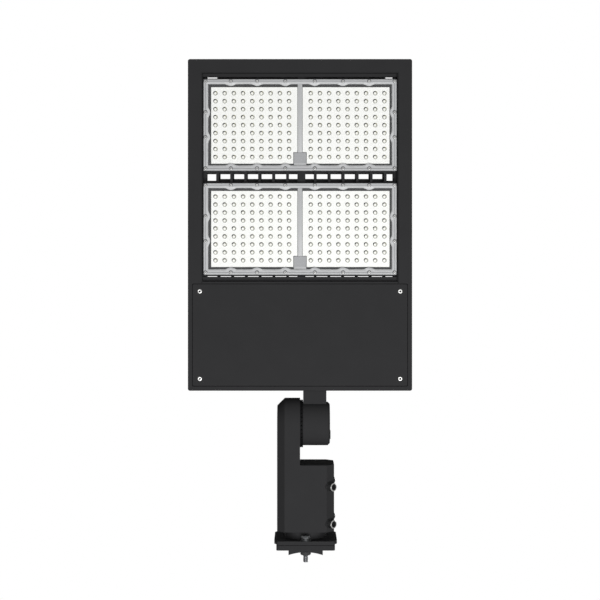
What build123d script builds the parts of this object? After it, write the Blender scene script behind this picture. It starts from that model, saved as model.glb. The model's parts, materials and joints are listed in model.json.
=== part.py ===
from build123d import *

import os
from math import asin, cos, degrees, radians, sin, sqrt

os.makedirs("parts", exist_ok=True)

# Pole light: an LED area light with two lens modules over a driver bay, on a tilting knuckle, a slip
# fitter that turns on its spigot, and an adapter that bolts to the side of a round pole.
# Millimetres. X runs to the right of the lens side, Y from the lens side to the back, Z up the spigot.
# The origin is on the spigot's axis, at the underside of the pole adapter's lower plate.

# Fits
running_gap = 0.3  # curved faces that turn past each other
thread_gap = 0.05  # radial, a screw in its tapped hole
hole_gap = 0.25  # radial, a screw or stem in a plain hole
seat_gap = 0.5  # around a piece that drops into a recess
overlap = 1.0  # how far a web, seat or cut runs on into what it joins

# Place of the head
knuckle_height = 176.6  # knuckle axis above the origin
arm_reach = 49.6  # knuckle axis to the underside of the housing
head_x = -8.0  # housing centre line beside the spigot axis
front_y = -34.0  # housing front ahead of the knuckle axis

# Housing
housing_width = 320.0
housing_length = 473.3
rim_depth = 41.0
housing_corner = 3.0
housing_edge = 1.5
skin = 4.0  # casting walls
side_bar = 20.7  # front face beside the lens opening
top_bar = 19.4  # front face above the lens opening
opening_bevel = 2.0
bay_height = 155.6  # underside to the lens opening
bay_wall_rise = 7.2  # bay's upper wall behind the opening's lower edge
bay_wall_depth = 8.0  # where that wall starts, behind the front
bay_wall = 5.0
bay_depth = 68.0  # front to the back of the driver bay
bay_inset = 8.0  # bay's back box inside the rim's sides
bay_chamfer = 6.0
rib_count = 4  # webs in each side channel
rib_thickness = 3.0

# Cooling fins and the bars across them
fin_end = 19.0  # opening's side to the last fin's middle
fin_side_count = 6  # fins either side of the cable post
fin_thickness = 3.8
fin_shift = 2.0  # cable post beside the housing centre line
fin_front = 10.0
fin_back = 55.0
post_width = 11.5
post_wall = 2.5
wall_step = 4.8  # side walls' inner step behind the modules
wall_step_depth = 20.0
bar_front = 36.0
bar_back = 43.0
lower_bar_drop = 1.2  # bar below each lens
lower_bar_height = 7.0
upper_bar_rise = 6.5  # bar above each lens, in the outer cells
upper_bar_height = 8.0
inner_bar_rise = 2.6  # more of it between the outermost fins
ledge_height = 4.9  # ledge above the upper lens
ledge_thickness = 4.0

# Lens modules
lens_side_gap = 1.3  # lens to the opening's sides
lens_lift = 9.9  # lower lens above the opening's lower edge
lens_head_room = 9.1  # upper lens below the opening's upper edge
module_gap = 17.7
lens_corner = 2.0
lens_border = 8.0
lens_skirt = 5.0  # outer part of the border, seated on the housing
lens_front = 2.0  # border's face behind the housing front
lens_panel = 2.0
base_front = 9.0  # module seat behind the housing front
base_thickness = 5.0
base_margin = 1.5
gasket_height = 1.5
gasket_play = 0.1
rib_width = 6.6  # lens's middle rib
rib_play = 0.5  # rib to board
board_side_gap = 1.6  # board to the lens border, at the sides
board_end_gap = 2.2  # and above and below
board_thickness = 1.6
board_air = 1.6  # board face to the lens panel
led_columns = 9
led_rows = 9
led_outer_margin = 7.52  # board's edges to the outermost LEDs' middles
led_inner_margin = 11.72
led_lower_margin = 10.76
led_upper_margin = 8.36
chip_size = 3.0
chip_height = 0.7
dome_radius = 3.5
dome_height = 1.6
connector_size = 18.0
connector_height = 2.6
connector_lift = 0.6  # above the lens border
connector_play = 0.6
lens_screw_shares = (0.156, 0.455, 0.732, 1.0)  # places along half a row, the last in the corner
lens_screw_side_share = 0.286  # side screws along half a column
lens_screw_inset = 3.1
lens_screw_radius = 1.5
lens_screw_head_radius = 2.5
lens_screw_head_height = 1.8
lens_screw_socket = 1.0
lens_screw_grip = 4.0  # thread in the housing

# Driver cover
cover_edge = 7.0  # rim beside and below the cover
cover_top_strip = 3.6  # rim above the cover
cover_gap = 0.8
cover_thickness = 3.0
cover_corner = 2.0
cover_gasket_height = 2.0
cover_gasket_width = 4.0
cover_ledge = 5.0
cover_screw_inset = 10.2
cover_screw_radius = 2.0
cover_screw_head_radius = 3.4
cover_screw_head_height = 2.4
cover_screw_socket = 1.5
cover_screw_length = 14.0
cover_boss_radius = 6.5
cover_boss_length = 25.0

# Driver bay contents, from the bay's left wall to its right and from its floor up
driver_depth = 38.0
driver_side_gap = 16.0  # bay's left wall to the driver's ear
driver_surge_gap = 10.0  # driver's other ear to the surge protector
driver_foot_gap = 13.0  # terminal block to the driver
driver_head_gap = 7.0  # driver to the lead junction
driver_corner = 4.0
driver_ear = 12.0
driver_ear_thickness = 3.0
driver_screw_radius = 2.0
driver_screw_head_radius = 3.8
driver_screw_head_height = 2.6
driver_screw_inset = 12.0
blind_floor = 1.0  # metal left behind a blind hole
surge_length = 48.0
surge_step = 3.0  # its ends inside the driver's
surge_depth = 30.0
surge_side_gap = 8.0  # to the bay's right wall
surge_corner = 3.0
surge_chamfer = 2.0
terminal_length = 40.0
terminal_height = 18.0
terminal_depth = 20.0
terminal_side_gap = 48.0  # to the bay's right wall
terminal_lift = 15.0  # its middle above the bay's floor
terminal_poles = 3
terminal_hole_radius = 2.5
junction_width = 30.0
junction_height = 14.0
junction_drop = 28.8  # its middle below the bay's ceiling
junction_front = 18.0
vent_side_gap = 38.0  # its middle from the bay's left wall
vent_lift = 15.0  # and above the bay's floor
vent_radius = 6.0
vent_head_radius = 9.0
vent_head_height = 5.0
vent_nut_height = 4.0
vent_chamfer = 1.0

# Module leads
lead_radius = 2.2
lead_bend = 8.0
lead_depths = {"upper": 40.0, "lower": 24.0}
lead_hole_radius = 3.0

# Knuckle
ring_left = -7.9  # cheek's inner face
ring_radius = 34.4
ring_bore = 24.0
ring_thickness = 1.95
ring_tooth_count = 36
ring_tooth_width = 1.6
ring_tooth_depth = 0.9
barrel_radius = 31.5
barrel_right = 35.0
barrel_chamfer = 3.0
hub_right = 14.0
recess_radius = 22.0
cap_ledge = 3.0  # cap beyond the recess behind it
cap_thickness = 3.0
arm_inset = 0.4  # arm's left side inside the barrel's end
arm_width = 33.4
arm_front = 12.0  # arm's front face ahead of the knuckle axis
arm_back = 29.0
arm_bore = 10.0
arm_gasket_height = 1.0
arm_gasket_inset = 1.0
arm_screw_x = 11.5  # half spacings of the arm screws
arm_screw_y = 15.0
arm_screw_radius = 3.0
arm_screw_head_radius = 5.0
arm_screw_head_height = 6.0
arm_screw_grip = 16.0
pivot_radius = 6.0
bush_radius = 8.5
pivot_grip = 22.0  # thread in the cheek
pivot_washer_radius = 12.0
pivot_washer_height = 2.5
pivot_lock_washer_radius = 10.0
pivot_head_flats = 18.0
pivot_head_height = 7.5
seal_cord = 1.6
seal_play = 0.9  # seal inside the tooth rings
wire_hole_radius = 4.5
wire_hole_wall = 1.0  # metal between the wire hole and the bush
lock_screw_play = 1.0  # lock screw beside the pivot washer
lock_screw_radius = 3.0
lock_screw_head_radius = 6.5
lock_screw_head_height = 1.2
lock_screw_socket = 2.5
lock_screw_grip = 8.0
gland_flats = 24.0
gland_hex_height = 6.0
gland_nut_radius = 11.0
gland_nut_height = 12.0
gland_bore = 6.0

# Slip fitter
fitter_width = 81.6
fitter_depth = 74.4
fitter_chamfer = 10.8
sleeve_clearance = 3.8  # sleeve above the pole bolts
sleeve_top = 120.1
sleeve_bore = 31.0
sleeve_ceiling = 12.0
cheek_wall = 6.5
cheek_cavity_depth = 44.0
cheek_cavity_rise = 20.0  # cavity above the knuckle axis
pivot_boss = 11.0
set_screw_lift = 12.0  # lower screws above the sleeve's end
set_screw_drop = 30.6  # upper screws below the sleeve's top
set_screw_turn = 45.0  # to either side of the X axis
set_screw_radius = 4.0
set_screw_boss_radius = 6.8
set_screw_boss_height = 1.5
set_screw_head_radius = 6.0
set_screw_head_height = 7.8
set_screw_socket = 3.8
set_screw_socket_depth = 5.0

# Pole adapter
plate_width = 83.4
plate_step = 2.9  # plate's front inside the flange's
plate_height = 8.2
flange_width = 89.5
flange_margin = 8.4  # beyond the pole bolts
flange_height = 5.3
flange_corner = 4.0
ear_setback = 4.0  # flange's wider part behind its front
ear_corner = 12.0
saddle_width = 48.7
saddle_drop = 6.3
saddle_arch = 2.4  # arch's crown below the plate
pole_radius = 76.2
spigot_play = 1.0  # radial, spigot in the sleeve
spigot_wall = 4.0
cable_hole_radius = 15.0
pole_bolt_play = 0.3  # washers beside the spigot
pole_bolt_radius = 3.175  # thread below the seals
pole_bolt_neck = 0.3  # shank inside the thread's radius
pole_bolt_flats = 11.1
pole_bolt_head_height = 4.4
pole_bolt_tip = 17.2  # end of the bolts below the origin
washer_radius = 7.2
washer_height = 1.4
lock_washer_radius = 5.6
lock_washer_height = 1.6
lock_washer_slot = 1.0
pole_seal_radius = 7.45
pole_seal_tip = 6.8
pole_seal_chamfer = 1.0
spot_face_lift = 0.2

# Heights and places that follow from the sizes above
housing_bottom = knuckle_height + arm_reach
housing_top = housing_bottom + housing_length
half_width = housing_width / 2
opening_half = half_width - side_bar
opening_bottom = housing_bottom + bay_height
opening_top = housing_top - top_bar
bay_wall_top = opening_bottom + bay_wall_rise
bay_floor_depth = bay_depth - skin
bay_ceiling = bay_wall_top - bay_wall
fin_pitch = (opening_half - fin_end) / fin_side_count
lens_width = 2 * (opening_half - lens_side_gap)
lens_height = (opening_top - opening_bottom - lens_lift - module_gap - lens_head_room) / 2
lens_bottoms = {
    "lower": opening_bottom + lens_lift,
    "upper": opening_bottom + lens_lift + lens_height + module_gap,
}
board_inner = rib_width / 2 + rib_play
board_width = lens_width / 2 - lens_border - board_side_gap - board_inner
board_height = lens_height - 2 * (lens_border + board_end_gap)
led_pitch_x = (board_width - led_outer_margin - led_inner_margin) / (led_columns - 1)
led_pitch_z = (board_height - led_lower_margin - led_upper_margin) / (led_rows - 1)
led_x = board_inner + board_width / 2 + (led_inner_margin - led_outer_margin) / 2
led_lift = (led_lower_margin - led_upper_margin) / 2
board_front = base_front - board_thickness
panel_inner = board_front - board_air
panel_outer = panel_inner - lens_panel
connector_bottom = lens_border + connector_lift
connector_top = connector_bottom + connector_size
cover_half = half_width - cover_edge
cover_bottom = housing_bottom + cover_edge
cover_top = opening_bottom - cover_top_strip
cover_middle = (cover_bottom + cover_top) / 2
cover_width = 2 * cover_half
cover_height = cover_top - cover_bottom
bay_seat = cover_thickness + cover_gasket_height
cavity_half = cover_half - cover_ledge
cavity_bottom = cover_bottom + cover_ledge
cavity_top = cover_top - cover_ledge
surge_x = cavity_half - surge_side_gap - surge_length / 2
driver_left = driver_side_gap - cavity_half
driver_right = surge_x - surge_length / 2 - driver_surge_gap
driver_length = driver_right - driver_left - 2 * driver_ear
driver_x = (driver_left + driver_right) / 2
terminal_x = cavity_half - terminal_side_gap - terminal_length / 2
terminal_z = cavity_bottom + terminal_lift
junction_z = bay_ceiling - junction_drop
driver_bottom = terminal_z + terminal_height / 2 + driver_foot_gap
driver_top = junction_z - junction_height / 2 - driver_head_gap
driver_height = driver_top - driver_bottom
driver_z = (driver_bottom + driver_top) / 2
surge_height = driver_height - 2 * surge_step
vent_x = vent_side_gap - cavity_half
vent_z = cavity_bottom + vent_lift
barrel_left = ring_left + 2 * ring_thickness + running_gap
arm_x = barrel_left + arm_inset + arm_width / 2
arm_y = (arm_back - arm_front) / 2
arm_depth = arm_front + arm_back
arm_top = housing_bottom - arm_gasket_height
cap_radius = recess_radius + cap_ledge
cap_left = barrel_right - cap_thickness
seal_radius = ring_bore - seal_play - seal_cord
wire_hole_offset = bush_radius + wire_hole_wall + wire_hole_radius
lock_screw_offset = pivot_washer_radius + lock_screw_play + lock_screw_radius
washer_left = hub_right + running_gap
lock_washer_left = washer_left + pivot_washer_height
pivot_head_left = lock_washer_left + pivot_washer_height
flange_top = plate_height + flange_height
pole_bolt_seat = flange_top + washer_height + lock_washer_height
sleeve_bottom = pole_bolt_seat + pole_bolt_head_height + sleeve_clearance
set_screw_heights = (sleeve_bottom + set_screw_lift, sleeve_top - set_screw_drop)
spigot_radius = sleeve_bore - spigot_play
pole_bolt_spacing = 2 * (spigot_radius + pole_bolt_play + washer_radius)
flange_depth = pole_bolt_spacing + 2 * flange_margin
plate_depth = flange_depth - 2 * plate_step
bore_top = sleeve_top - sleeve_ceiling
spigot_top = bore_top - running_gap
chamfer_reach = (fitter_width + fitter_depth - 2 * fitter_chamfer) / (2 * sqrt(2))
spot_face = spot_face_lift - saddle_arch
slot_half = lock_washer_slot / 2


def head_plane(depth, z=0.0, x=0.0):
    """Plane that faces the lens side, at a depth behind the housing front, with local y up."""
    return Plane((head_x + x, front_y + depth, z), x_dir=(1, 0, 0), z_dir=(0, -1, 0))


def knuckle_plane(x):
    """Plane across the knuckle axis, with local x to the back, local y up and its normal to the right."""
    return Plane((x, 0, knuckle_height), x_dir=(0, 1, 0), z_dir=(1, 0, 0))


def set_screw_plane(turn, height, reach):
    """Plane across a set screw, at a reach from the spigot axis, with its normal outward."""
    way = (cos(radians(turn)), sin(radians(turn)), 0)
    return Plane((reach * way[0], reach * way[1], height), x_dir=(0, 0, 1), z_dir=way)


def span(left, right, low, high, mode=Mode.ADD):
    """Rectangle between two sides and two heights of the sketch that it is drawn in."""
    with Locations(((left + right) / 2, (low + high) / 2)):
        Rectangle(right - left, high - low, mode=mode)


def lens_screw_points():
    """Screw places of a lens module, from its middle."""
    edge_x = lens_width / 2 - lens_screw_inset
    edge_z = lens_height / 2 - lens_screw_inset
    ends = (-1, 1)
    rows = [(i * share * edge_x, j * edge_z) for share in lens_screw_shares for i in ends for j in ends]
    sides = [(i * edge_x, j * lens_screw_side_share * edge_z) for i in ends for j in ends]
    return rows + sides


def cover_screw_points():
    """Screw places of the driver cover, from its middle."""
    reach_x = cover_half - cover_screw_inset
    reach_z = cover_height / 2 - cover_screw_inset
    return [(i * reach_x, j * reach_z) for i in (-1, 1) for j in (-1, 1)]


def driver_screw_points():
    """Screw places of the LED driver's ears, from its middle."""
    reach_x = driver_length / 2 + driver_ear / 2
    reach_z = driver_height / 2 - driver_screw_inset
    return [(i * reach_x, j * reach_z) for i in (-1, 1) for j in (-1, 1)]


def arm_screw_points():
    """Screw places on the arm's top, from the spigot axis."""
    return [(arm_x + i * arm_screw_x, arm_y + j * arm_screw_y) for i in (-1, 1) for j in (-1, 1)]


def pole_bolt_points():
    """Bolt places on the pole adapter, in line along the pole."""
    return [(0, j * pole_bolt_spacing / 2) for j in (-1, 1)]


# Housing: a casting with a lens opening over its fins and a bay for the driver
with BuildPart() as housing:
    with BuildSketch(head_plane(rim_depth, (housing_bottom + housing_top) / 2)):
        RectangleRounded(housing_width, housing_length, housing_corner)
    extrude(amount=rim_depth)
    fillet(housing.faces().sort_by(Axis.Y)[0].edges(), housing_edge)
    # The driver bay's back box stands out behind the rim
    with BuildSketch(head_plane(bay_depth)):
        span(bay_inset - half_width, half_width - bay_inset, housing_bottom, bay_wall_top)
    extrude(amount=bay_depth - rim_depth + skin)
    chamfer(housing.faces().sort_by(Axis.Y)[-1].edges(), bay_chamfer)
    # Lens opening, whose lower edge stands in front of the bay's upper wall
    with BuildSketch(head_plane(0)):
        span(-opening_half, opening_half, opening_bottom, opening_top)
    extrude(amount=-bay_wall_depth, mode=Mode.SUBTRACT)
    with BuildSketch(head_plane(0)):
        span(-opening_half, opening_half, bay_wall_top, opening_top)
    extrude(amount=-rim_depth, mode=Mode.SUBTRACT)
    rim_edges = housing.faces().sort_by(Axis.Y)[0].inner_wires()[0].edges()
    chamfer(rim_edges, opening_bevel)
    # Channel behind the side and top bars
    with BuildSketch(head_plane(rim_depth)):
        span(skin - half_width, half_width - skin, bay_wall_top, housing_top - skin)
        span(-opening_half - skin, opening_half + skin, bay_wall_top, opening_top + skin, Mode.SUBTRACT)
    extrude(amount=rim_depth - skin, mode=Mode.SUBTRACT)
    with BuildSketch(head_plane(rim_depth - skin)):
        for step in range(rib_count):
            rib_z = bay_wall_top + (opening_top - bay_wall_top) * (step + 1) / rib_count
            for side in (-1, 1):
                with Locations((side * (half_width + opening_half) / 2, rib_z)):
                    Rectangle(side_bar - skin, rib_thickness)
    extrude(amount=rim_depth - 2 * skin + overlap)
    # Steps on the inner side walls, behind the modules
    with BuildSketch(head_plane(rim_depth)):
        well_low = bay_wall_top - overlap
        well_high = opening_top + overlap
        span(-opening_half - overlap, wall_step - opening_half, well_low, well_high)
        span(opening_half - wall_step, opening_half + overlap, well_low, well_high)
    extrude(amount=rim_depth - wall_step_depth)
    # Module seats
    with BuildSketch(head_plane(base_front + base_thickness)):
        for low in lens_bottoms.values():
            seat_half = opening_half + overlap
            span(-seat_half, seat_half, low - base_margin, low + lens_height + base_margin)
    extrude(amount=base_thickness)
    # Fins and the cable post; ahead of the bars, the fins end with the outer module seats
    with BuildSketch(head_plane(fin_back)):
        for number in range(-fin_side_count, fin_side_count + 1):
            width = fin_thickness if number else post_width
            with Locations((fin_shift + number * fin_pitch, 0)):
                span(-width / 2, width / 2, well_low, well_high)
    extrude(amount=fin_back - bar_front)
    with BuildSketch(head_plane(bar_front)):
        span(fin_shift - post_width / 2, fin_shift + post_width / 2, well_low, well_high)
        seats_low = min(lens_bottoms.values()) - base_margin
        seats_high = max(lens_bottoms.values()) + lens_height + base_margin
        with Locations((fin_shift, (seats_low + seats_high) / 2)):
            with GridLocations(fin_pitch, 0, 2 * fin_side_count + 1, 1):
                Rectangle(fin_thickness, seats_high - seats_low)
    extrude(amount=bar_front - fin_front)
    # Bars across the fins
    fin_reach = fin_side_count * fin_pitch
    with BuildSketch(head_plane(bar_back)):
        for name, low in lens_bottoms.items():
            high = low + lens_height
            span(-opening_half, opening_half, low - lower_bar_drop, low - lower_bar_drop + lower_bar_height)
            outer_top = high + upper_bar_rise
            span(-opening_half, opening_half, outer_top - upper_bar_height, outer_top)
            inner_top = opening_top + overlap if name == "upper" else outer_top + inner_bar_rise
            span(fin_shift - fin_reach, fin_shift + fin_reach, outer_top - overlap, inner_top)
    extrude(amount=bar_back - bar_front)
    # Ledge across the opening's upper edge, level with the fins' fronts
    with BuildSketch(head_plane(fin_front + ledge_thickness)):
        span(-opening_half - overlap, opening_half + overlap, opening_top - ledge_height, well_high)
    extrude(amount=ledge_thickness)
    # Bay: cover recess, cavity and the taller part behind the upper ledge
    with BuildSketch(head_plane(0, cover_middle)):
        RectangleRounded(cover_width + 2 * cover_gap, cover_height + 2 * cover_gap, cover_corner)
    extrude(amount=-bay_seat, mode=Mode.SUBTRACT)
    with BuildSketch(head_plane(bay_seat)):
        span(-cavity_half, cavity_half, cavity_bottom, cavity_top)
    extrude(amount=bay_seat - bay_floor_depth, mode=Mode.SUBTRACT)
    with BuildSketch(head_plane(bay_wall_depth + bay_wall)):
        span(-cavity_half, cavity_half, cavity_bottom, bay_ceiling)
    extrude(amount=bay_wall_depth + bay_wall - bay_floor_depth, mode=Mode.SUBTRACT)
    with BuildSketch(head_plane(bay_seat + cover_boss_length, cover_middle)):
        with Locations(*cover_screw_points()):
            Circle(cover_boss_radius)
    extrude(amount=cover_boss_length)
    # Tapped holes for the cover, lens, driver and arm screws
    with BuildSketch(head_plane(bay_seat, cover_middle)):
        with Locations(*cover_screw_points()):
            Circle(cover_screw_radius + thread_gap)
    extrude(amount=-cover_boss_length + skin, mode=Mode.SUBTRACT)
    with BuildSketch(head_plane(base_front)):
        for low in lens_bottoms.values():
            with Locations((0, low + lens_height / 2)):
                with Locations(*lens_screw_points()):
                    Circle(lens_screw_radius + thread_gap)
            with Locations((fin_shift, low + connector_bottom + connector_size / 2)):
                Circle(lead_hole_radius)
    extrude(amount=-base_thickness - skin, mode=Mode.SUBTRACT)
    with BuildSketch(head_plane(bay_floor_depth, driver_z, driver_x)):
        with Locations(*driver_screw_points()):
            Circle(driver_screw_radius + thread_gap)
    extrude(amount=blind_floor - skin, mode=Mode.SUBTRACT)
    with BuildSketch(Plane.XY.offset(housing_bottom)):
        with Locations(*arm_screw_points()):
            Circle(arm_screw_radius + hole_gap)
        with Locations((arm_x, arm_y)):
            Circle(arm_bore)
    extrude(amount=cavity_bottom - housing_bottom, mode=Mode.SUBTRACT)
    with BuildSketch(head_plane(bay_depth, vent_z, vent_x)):
        Circle(vent_radius + thread_gap)
    extrude(amount=skin, mode=Mode.SUBTRACT)
    # Cable way down the post, from the upper connector into the bay
    post_hollow = post_width / 2 - post_wall
    way_top = lens_bottoms["upper"] + connector_bottom + connector_size / 2 + lead_hole_radius
    with BuildSketch(head_plane(fin_back - post_wall)):
        span(fin_shift - post_hollow, fin_shift + post_hollow, bay_ceiling - overlap, way_top)
    way_depth = fin_back - post_wall - base_front - base_thickness - overlap
    extrude(amount=way_depth, mode=Mode.SUBTRACT)
housing.part.label = "housing"
export_step(housing.part, "parts/housing.step")

# Driver cover, flush with the housing front, its gasket and its screws
with BuildPart() as driver_cover:
    with BuildSketch(head_plane(cover_thickness, cover_middle)):
        RectangleRounded(cover_width, cover_height, cover_corner)
    extrude(amount=cover_thickness)
    with BuildSketch(head_plane(cover_thickness, cover_middle)):
        with Locations(*cover_screw_points()):
            Circle(cover_screw_radius + hole_gap)
    extrude(amount=cover_thickness, mode=Mode.SUBTRACT)
driver_cover.part.label = "driver_cover"
export_step(driver_cover.part, "parts/driver_cover.step")

with BuildPart() as driver_cover_gasket:
    with BuildSketch(head_plane(bay_seat, cover_middle)):
        Rectangle(cover_width - 2 * seat_gap, cover_height - 2 * seat_gap)
        inner_trim = 2 * (seat_gap + cover_gasket_width)
        Rectangle(cover_width - inner_trim, cover_height - inner_trim, mode=Mode.SUBTRACT)
    extrude(amount=cover_gasket_height)
driver_cover_gasket.part.label = "driver_cover_gasket"
export_step(driver_cover_gasket.part, "parts/driver_cover_gasket.step")

with BuildPart() as driver_cover_screws:
    with BuildSketch(head_plane(0, cover_middle)):
        with Locations(*cover_screw_points()):
            Circle(cover_screw_head_radius)
    extrude(amount=cover_screw_head_height)
    fillet(driver_cover_screws.edges().group_by(Axis.Y)[0], cover_screw_head_height / 3)
    with BuildSketch(head_plane(0, cover_middle)):
        with Locations(*cover_screw_points()):
            Circle(cover_screw_radius)
    extrude(amount=-cover_screw_length)
    with BuildSketch(head_plane(-cover_screw_head_height, cover_middle)):
        with Locations(*cover_screw_points()):
            RegularPolygon(cover_screw_socket, 6)
    extrude(amount=-cover_screw_head_height / 2, mode=Mode.SUBTRACT)
driver_cover_screws.part.label = "driver_cover_screws"
export_step(driver_cover_screws.part, "parts/driver_cover_screws.step")


# Lens modules: each is a moulded lens over two LED boards, with its gasket, screws and lead connector
def make_lens(module, middle):
    """Moulded clear lens with a screwed border, a middle rib and a dome over each LED."""
    pocket_width = lens_width - 2 * lens_border
    pocket_height = lens_height - 2 * lens_border
    rib_bottom = connector_top + connector_play - lens_height / 2
    cap_sphere = (dome_radius**2 + dome_height**2) / (2 * dome_height)
    cap_latitude = degrees(asin((cap_sphere - dome_height) / cap_sphere))
    with BuildPart() as lens:
        with BuildSketch(head_plane(base_front, middle)):
            RectangleRounded(lens_width, lens_height, lens_corner)
        extrude(amount=base_front - lens_front)
        with BuildSketch(head_plane(base_front, middle)):
            Rectangle(lens_width - 2 * lens_skirt, lens_height - 2 * lens_skirt)
            Rectangle(pocket_width, pocket_height, mode=Mode.SUBTRACT)
        extrude(amount=gasket_height, mode=Mode.SUBTRACT)
        with BuildSketch(head_plane(base_front, middle)):
            Rectangle(pocket_width, pocket_height)
            span(-rib_width / 2, rib_width / 2, rib_bottom, pocket_height / 2, Mode.SUBTRACT)
        extrude(amount=base_front - panel_inner, mode=Mode.SUBTRACT)
        with BuildSketch(head_plane(lens_front, middle)):
            Rectangle(pocket_width, pocket_height)
        extrude(amount=lens_front - panel_outer, mode=Mode.SUBTRACT)
        with BuildSketch(head_plane(base_front, middle)):
            with Locations(*lens_screw_points()):
                Circle(lens_screw_radius + hole_gap)
        extrude(amount=base_front - lens_front, mode=Mode.SUBTRACT)
        for side in (-1, 1):
            with Locations(head_plane(panel_outer, middle + led_lift, side * led_x)):
                with GridLocations(led_pitch_x, led_pitch_z, led_columns, led_rows):
                    Sphere(cap_sphere, cap_latitude, 90, align=(Align.CENTER, Align.CENTER, Align.MIN))
    lens.part.label = f"{module}_lens"
    export_step(lens.part, f"parts/{module}_lens.step")


def make_lens_gasket(module, middle):
    """Seal in the rebate under the lens border."""
    with BuildPart() as gasket:
        with BuildSketch(head_plane(base_front, middle)):
            outer = 2 * (lens_skirt + gasket_play)
            inner = 2 * (lens_border - gasket_play)
            Rectangle(lens_width - outer, lens_height - outer)
            Rectangle(lens_width - inner, lens_height - inner, mode=Mode.SUBTRACT)
        extrude(amount=gasket_height)
    gasket.part.label = f"{module}_lens_gasket"
    export_step(gasket.part, f"parts/{module}_lens_gasket.step")


def make_lens_screws(module, middle):
    """Socket screws around the lens border."""
    head_face = lens_front - lens_screw_head_height
    with BuildPart() as screws:
        with BuildSketch(head_plane(lens_front, middle)):
            with Locations(*lens_screw_points()):
                Circle(lens_screw_head_radius)
        extrude(amount=lens_screw_head_height)
        with BuildSketch(head_plane(lens_front, middle)):
            with Locations(*lens_screw_points()):
                Circle(lens_screw_radius)
        extrude(amount=lens_front - base_front - lens_screw_grip)
        with BuildSketch(head_plane(head_face, middle)):
            with Locations(*lens_screw_points()):
                RegularPolygon(lens_screw_socket, 6)
        extrude(amount=-lens_screw_head_height / 2, mode=Mode.SUBTRACT)
    screws.part.label = f"{module}_lens_screws"
    export_step(screws.part, f"parts/{module}_lens_screws.step")


def make_led_board(module, middle, hand, side):
    """White LED board beside the lens rib, with a corner cut out for the lead connector."""
    notch_half = connector_size / 2 + connector_play
    notch_top = connector_top + connector_play - lens_height / 2
    with BuildPart() as board:
        with BuildSketch(head_plane(base_front, middle)):
            with Locations((side * (board_inner + board_width / 2), 0)):
                Rectangle(board_width, board_height)
            span(-notch_half, notch_half, -lens_height / 2, notch_top, Mode.SUBTRACT)
        extrude(amount=board_thickness)
    board.part.label = f"{module}_led_board_{hand}"
    export_step(board.part, f"parts/{module}_led_board_{hand}.step")


def make_led_chips(module, middle, hand, side):
    """LED packages in rows on a board."""
    with BuildPart() as chips:
        with BuildSketch(head_plane(board_front, middle + led_lift, side * led_x)):
            with GridLocations(led_pitch_x, led_pitch_z, led_columns, led_rows):
                Rectangle(chip_size, chip_size)
        extrude(amount=chip_height)
    chips.part.label = f"{module}_led_chips_{hand}"
    export_step(chips.part, f"parts/{module}_led_chips_{hand}.step")


def make_connector(module, bottom):
    """Potted connector where the module's lead comes through its seat."""
    with BuildPart() as connector:
        with BuildSketch(head_plane(base_front, bottom + connector_bottom + connector_size / 2)):
            Rectangle(connector_size, connector_size)
        extrude(amount=connector_height)
        chamfer(connector.faces().sort_by(Axis.Y)[0].edges(), connector_height / 4)
    connector.part.label = f"{module}_lead_connector"
    export_step(connector.part, f"parts/{module}_lead_connector.step")


def make_lead(module, bottom):
    """Lead from the connector's back, down the cable post, to the junction in the bay."""
    lead_x = head_x + fin_shift
    lead_y = front_y + lead_depths[module]
    start_z = bottom + connector_bottom + connector_size / 2
    start = (lead_x, front_y + base_front, start_z)
    corner = (lead_x, lead_y, start_z)
    end = (lead_x, lead_y, junction_z + junction_height / 2)
    with BuildPart() as lead:
        with BuildLine() as route:
            FilletPolyline(start, corner, end, radius=lead_bend)
        with BuildSketch(Plane(start, x_dir=(1, 0, 0), z_dir=(0, 1, 0))):
            Circle(lead_radius)
        sweep(path=route.line)
    lead.part.label = f"{module}_module_lead"
    export_step(lead.part, f"parts/{module}_module_lead.step")


for module, bottom in lens_bottoms.items():
    middle = bottom + lens_height / 2
    make_lens(module, middle)
    make_lens_gasket(module, middle)
    make_lens_screws(module, middle)
    make_connector(module, bottom)
    make_lead(module, bottom)
    for hand, side in (("left", -1), ("right", 1)):
        make_led_board(module, middle, hand, side)
        make_led_chips(module, middle, hand, side)

# Driver bay: LED driver and its screws, surge protector, terminal block, junction and breather vent
with BuildPart() as led_driver:
    with BuildSketch(head_plane(bay_floor_depth, driver_z, driver_x)):
        Rectangle(driver_length, driver_height)
    extrude(amount=driver_depth)
    fillet(led_driver.edges().filter_by(Axis.X), driver_corner)
    with BuildSketch(head_plane(bay_floor_depth, driver_z, driver_x)):
        Rectangle(driver_length + 2 * driver_ear, driver_height - driver_screw_inset)
        with Locations(*driver_screw_points()):
            Circle(driver_screw_radius + hole_gap, mode=Mode.SUBTRACT)
    extrude(amount=driver_ear_thickness)
led_driver.part.label = "led_driver"
export_step(led_driver.part, "parts/led_driver.step")

with BuildPart() as led_driver_screws:
    ear_face = bay_floor_depth - driver_ear_thickness
    with BuildSketch(head_plane(ear_face, driver_z, driver_x)):
        with Locations(*driver_screw_points()):
            Circle(driver_screw_head_radius)
    extrude(amount=driver_screw_head_height)
    with BuildSketch(head_plane(ear_face, driver_z, driver_x)):
        with Locations(*driver_screw_points()):
            Circle(driver_screw_radius)
    extrude(amount=2 * blind_floor - skin - driver_ear_thickness)
led_driver_screws.part.label = "led_driver_screws"
export_step(led_driver_screws.part, "parts/led_driver_screws.step")

with BuildPart() as surge_protector:
    with BuildSketch(head_plane(bay_floor_depth, driver_z, surge_x)):
        RectangleRounded(surge_length, surge_height, surge_corner)
    extrude(amount=surge_depth)
    chamfer(surge_protector.faces().sort_by(Axis.Y)[0].edges(), surge_chamfer)
surge_protector.part.label = "surge_protector"
export_step(surge_protector.part, "parts/surge_protector.step")

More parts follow.
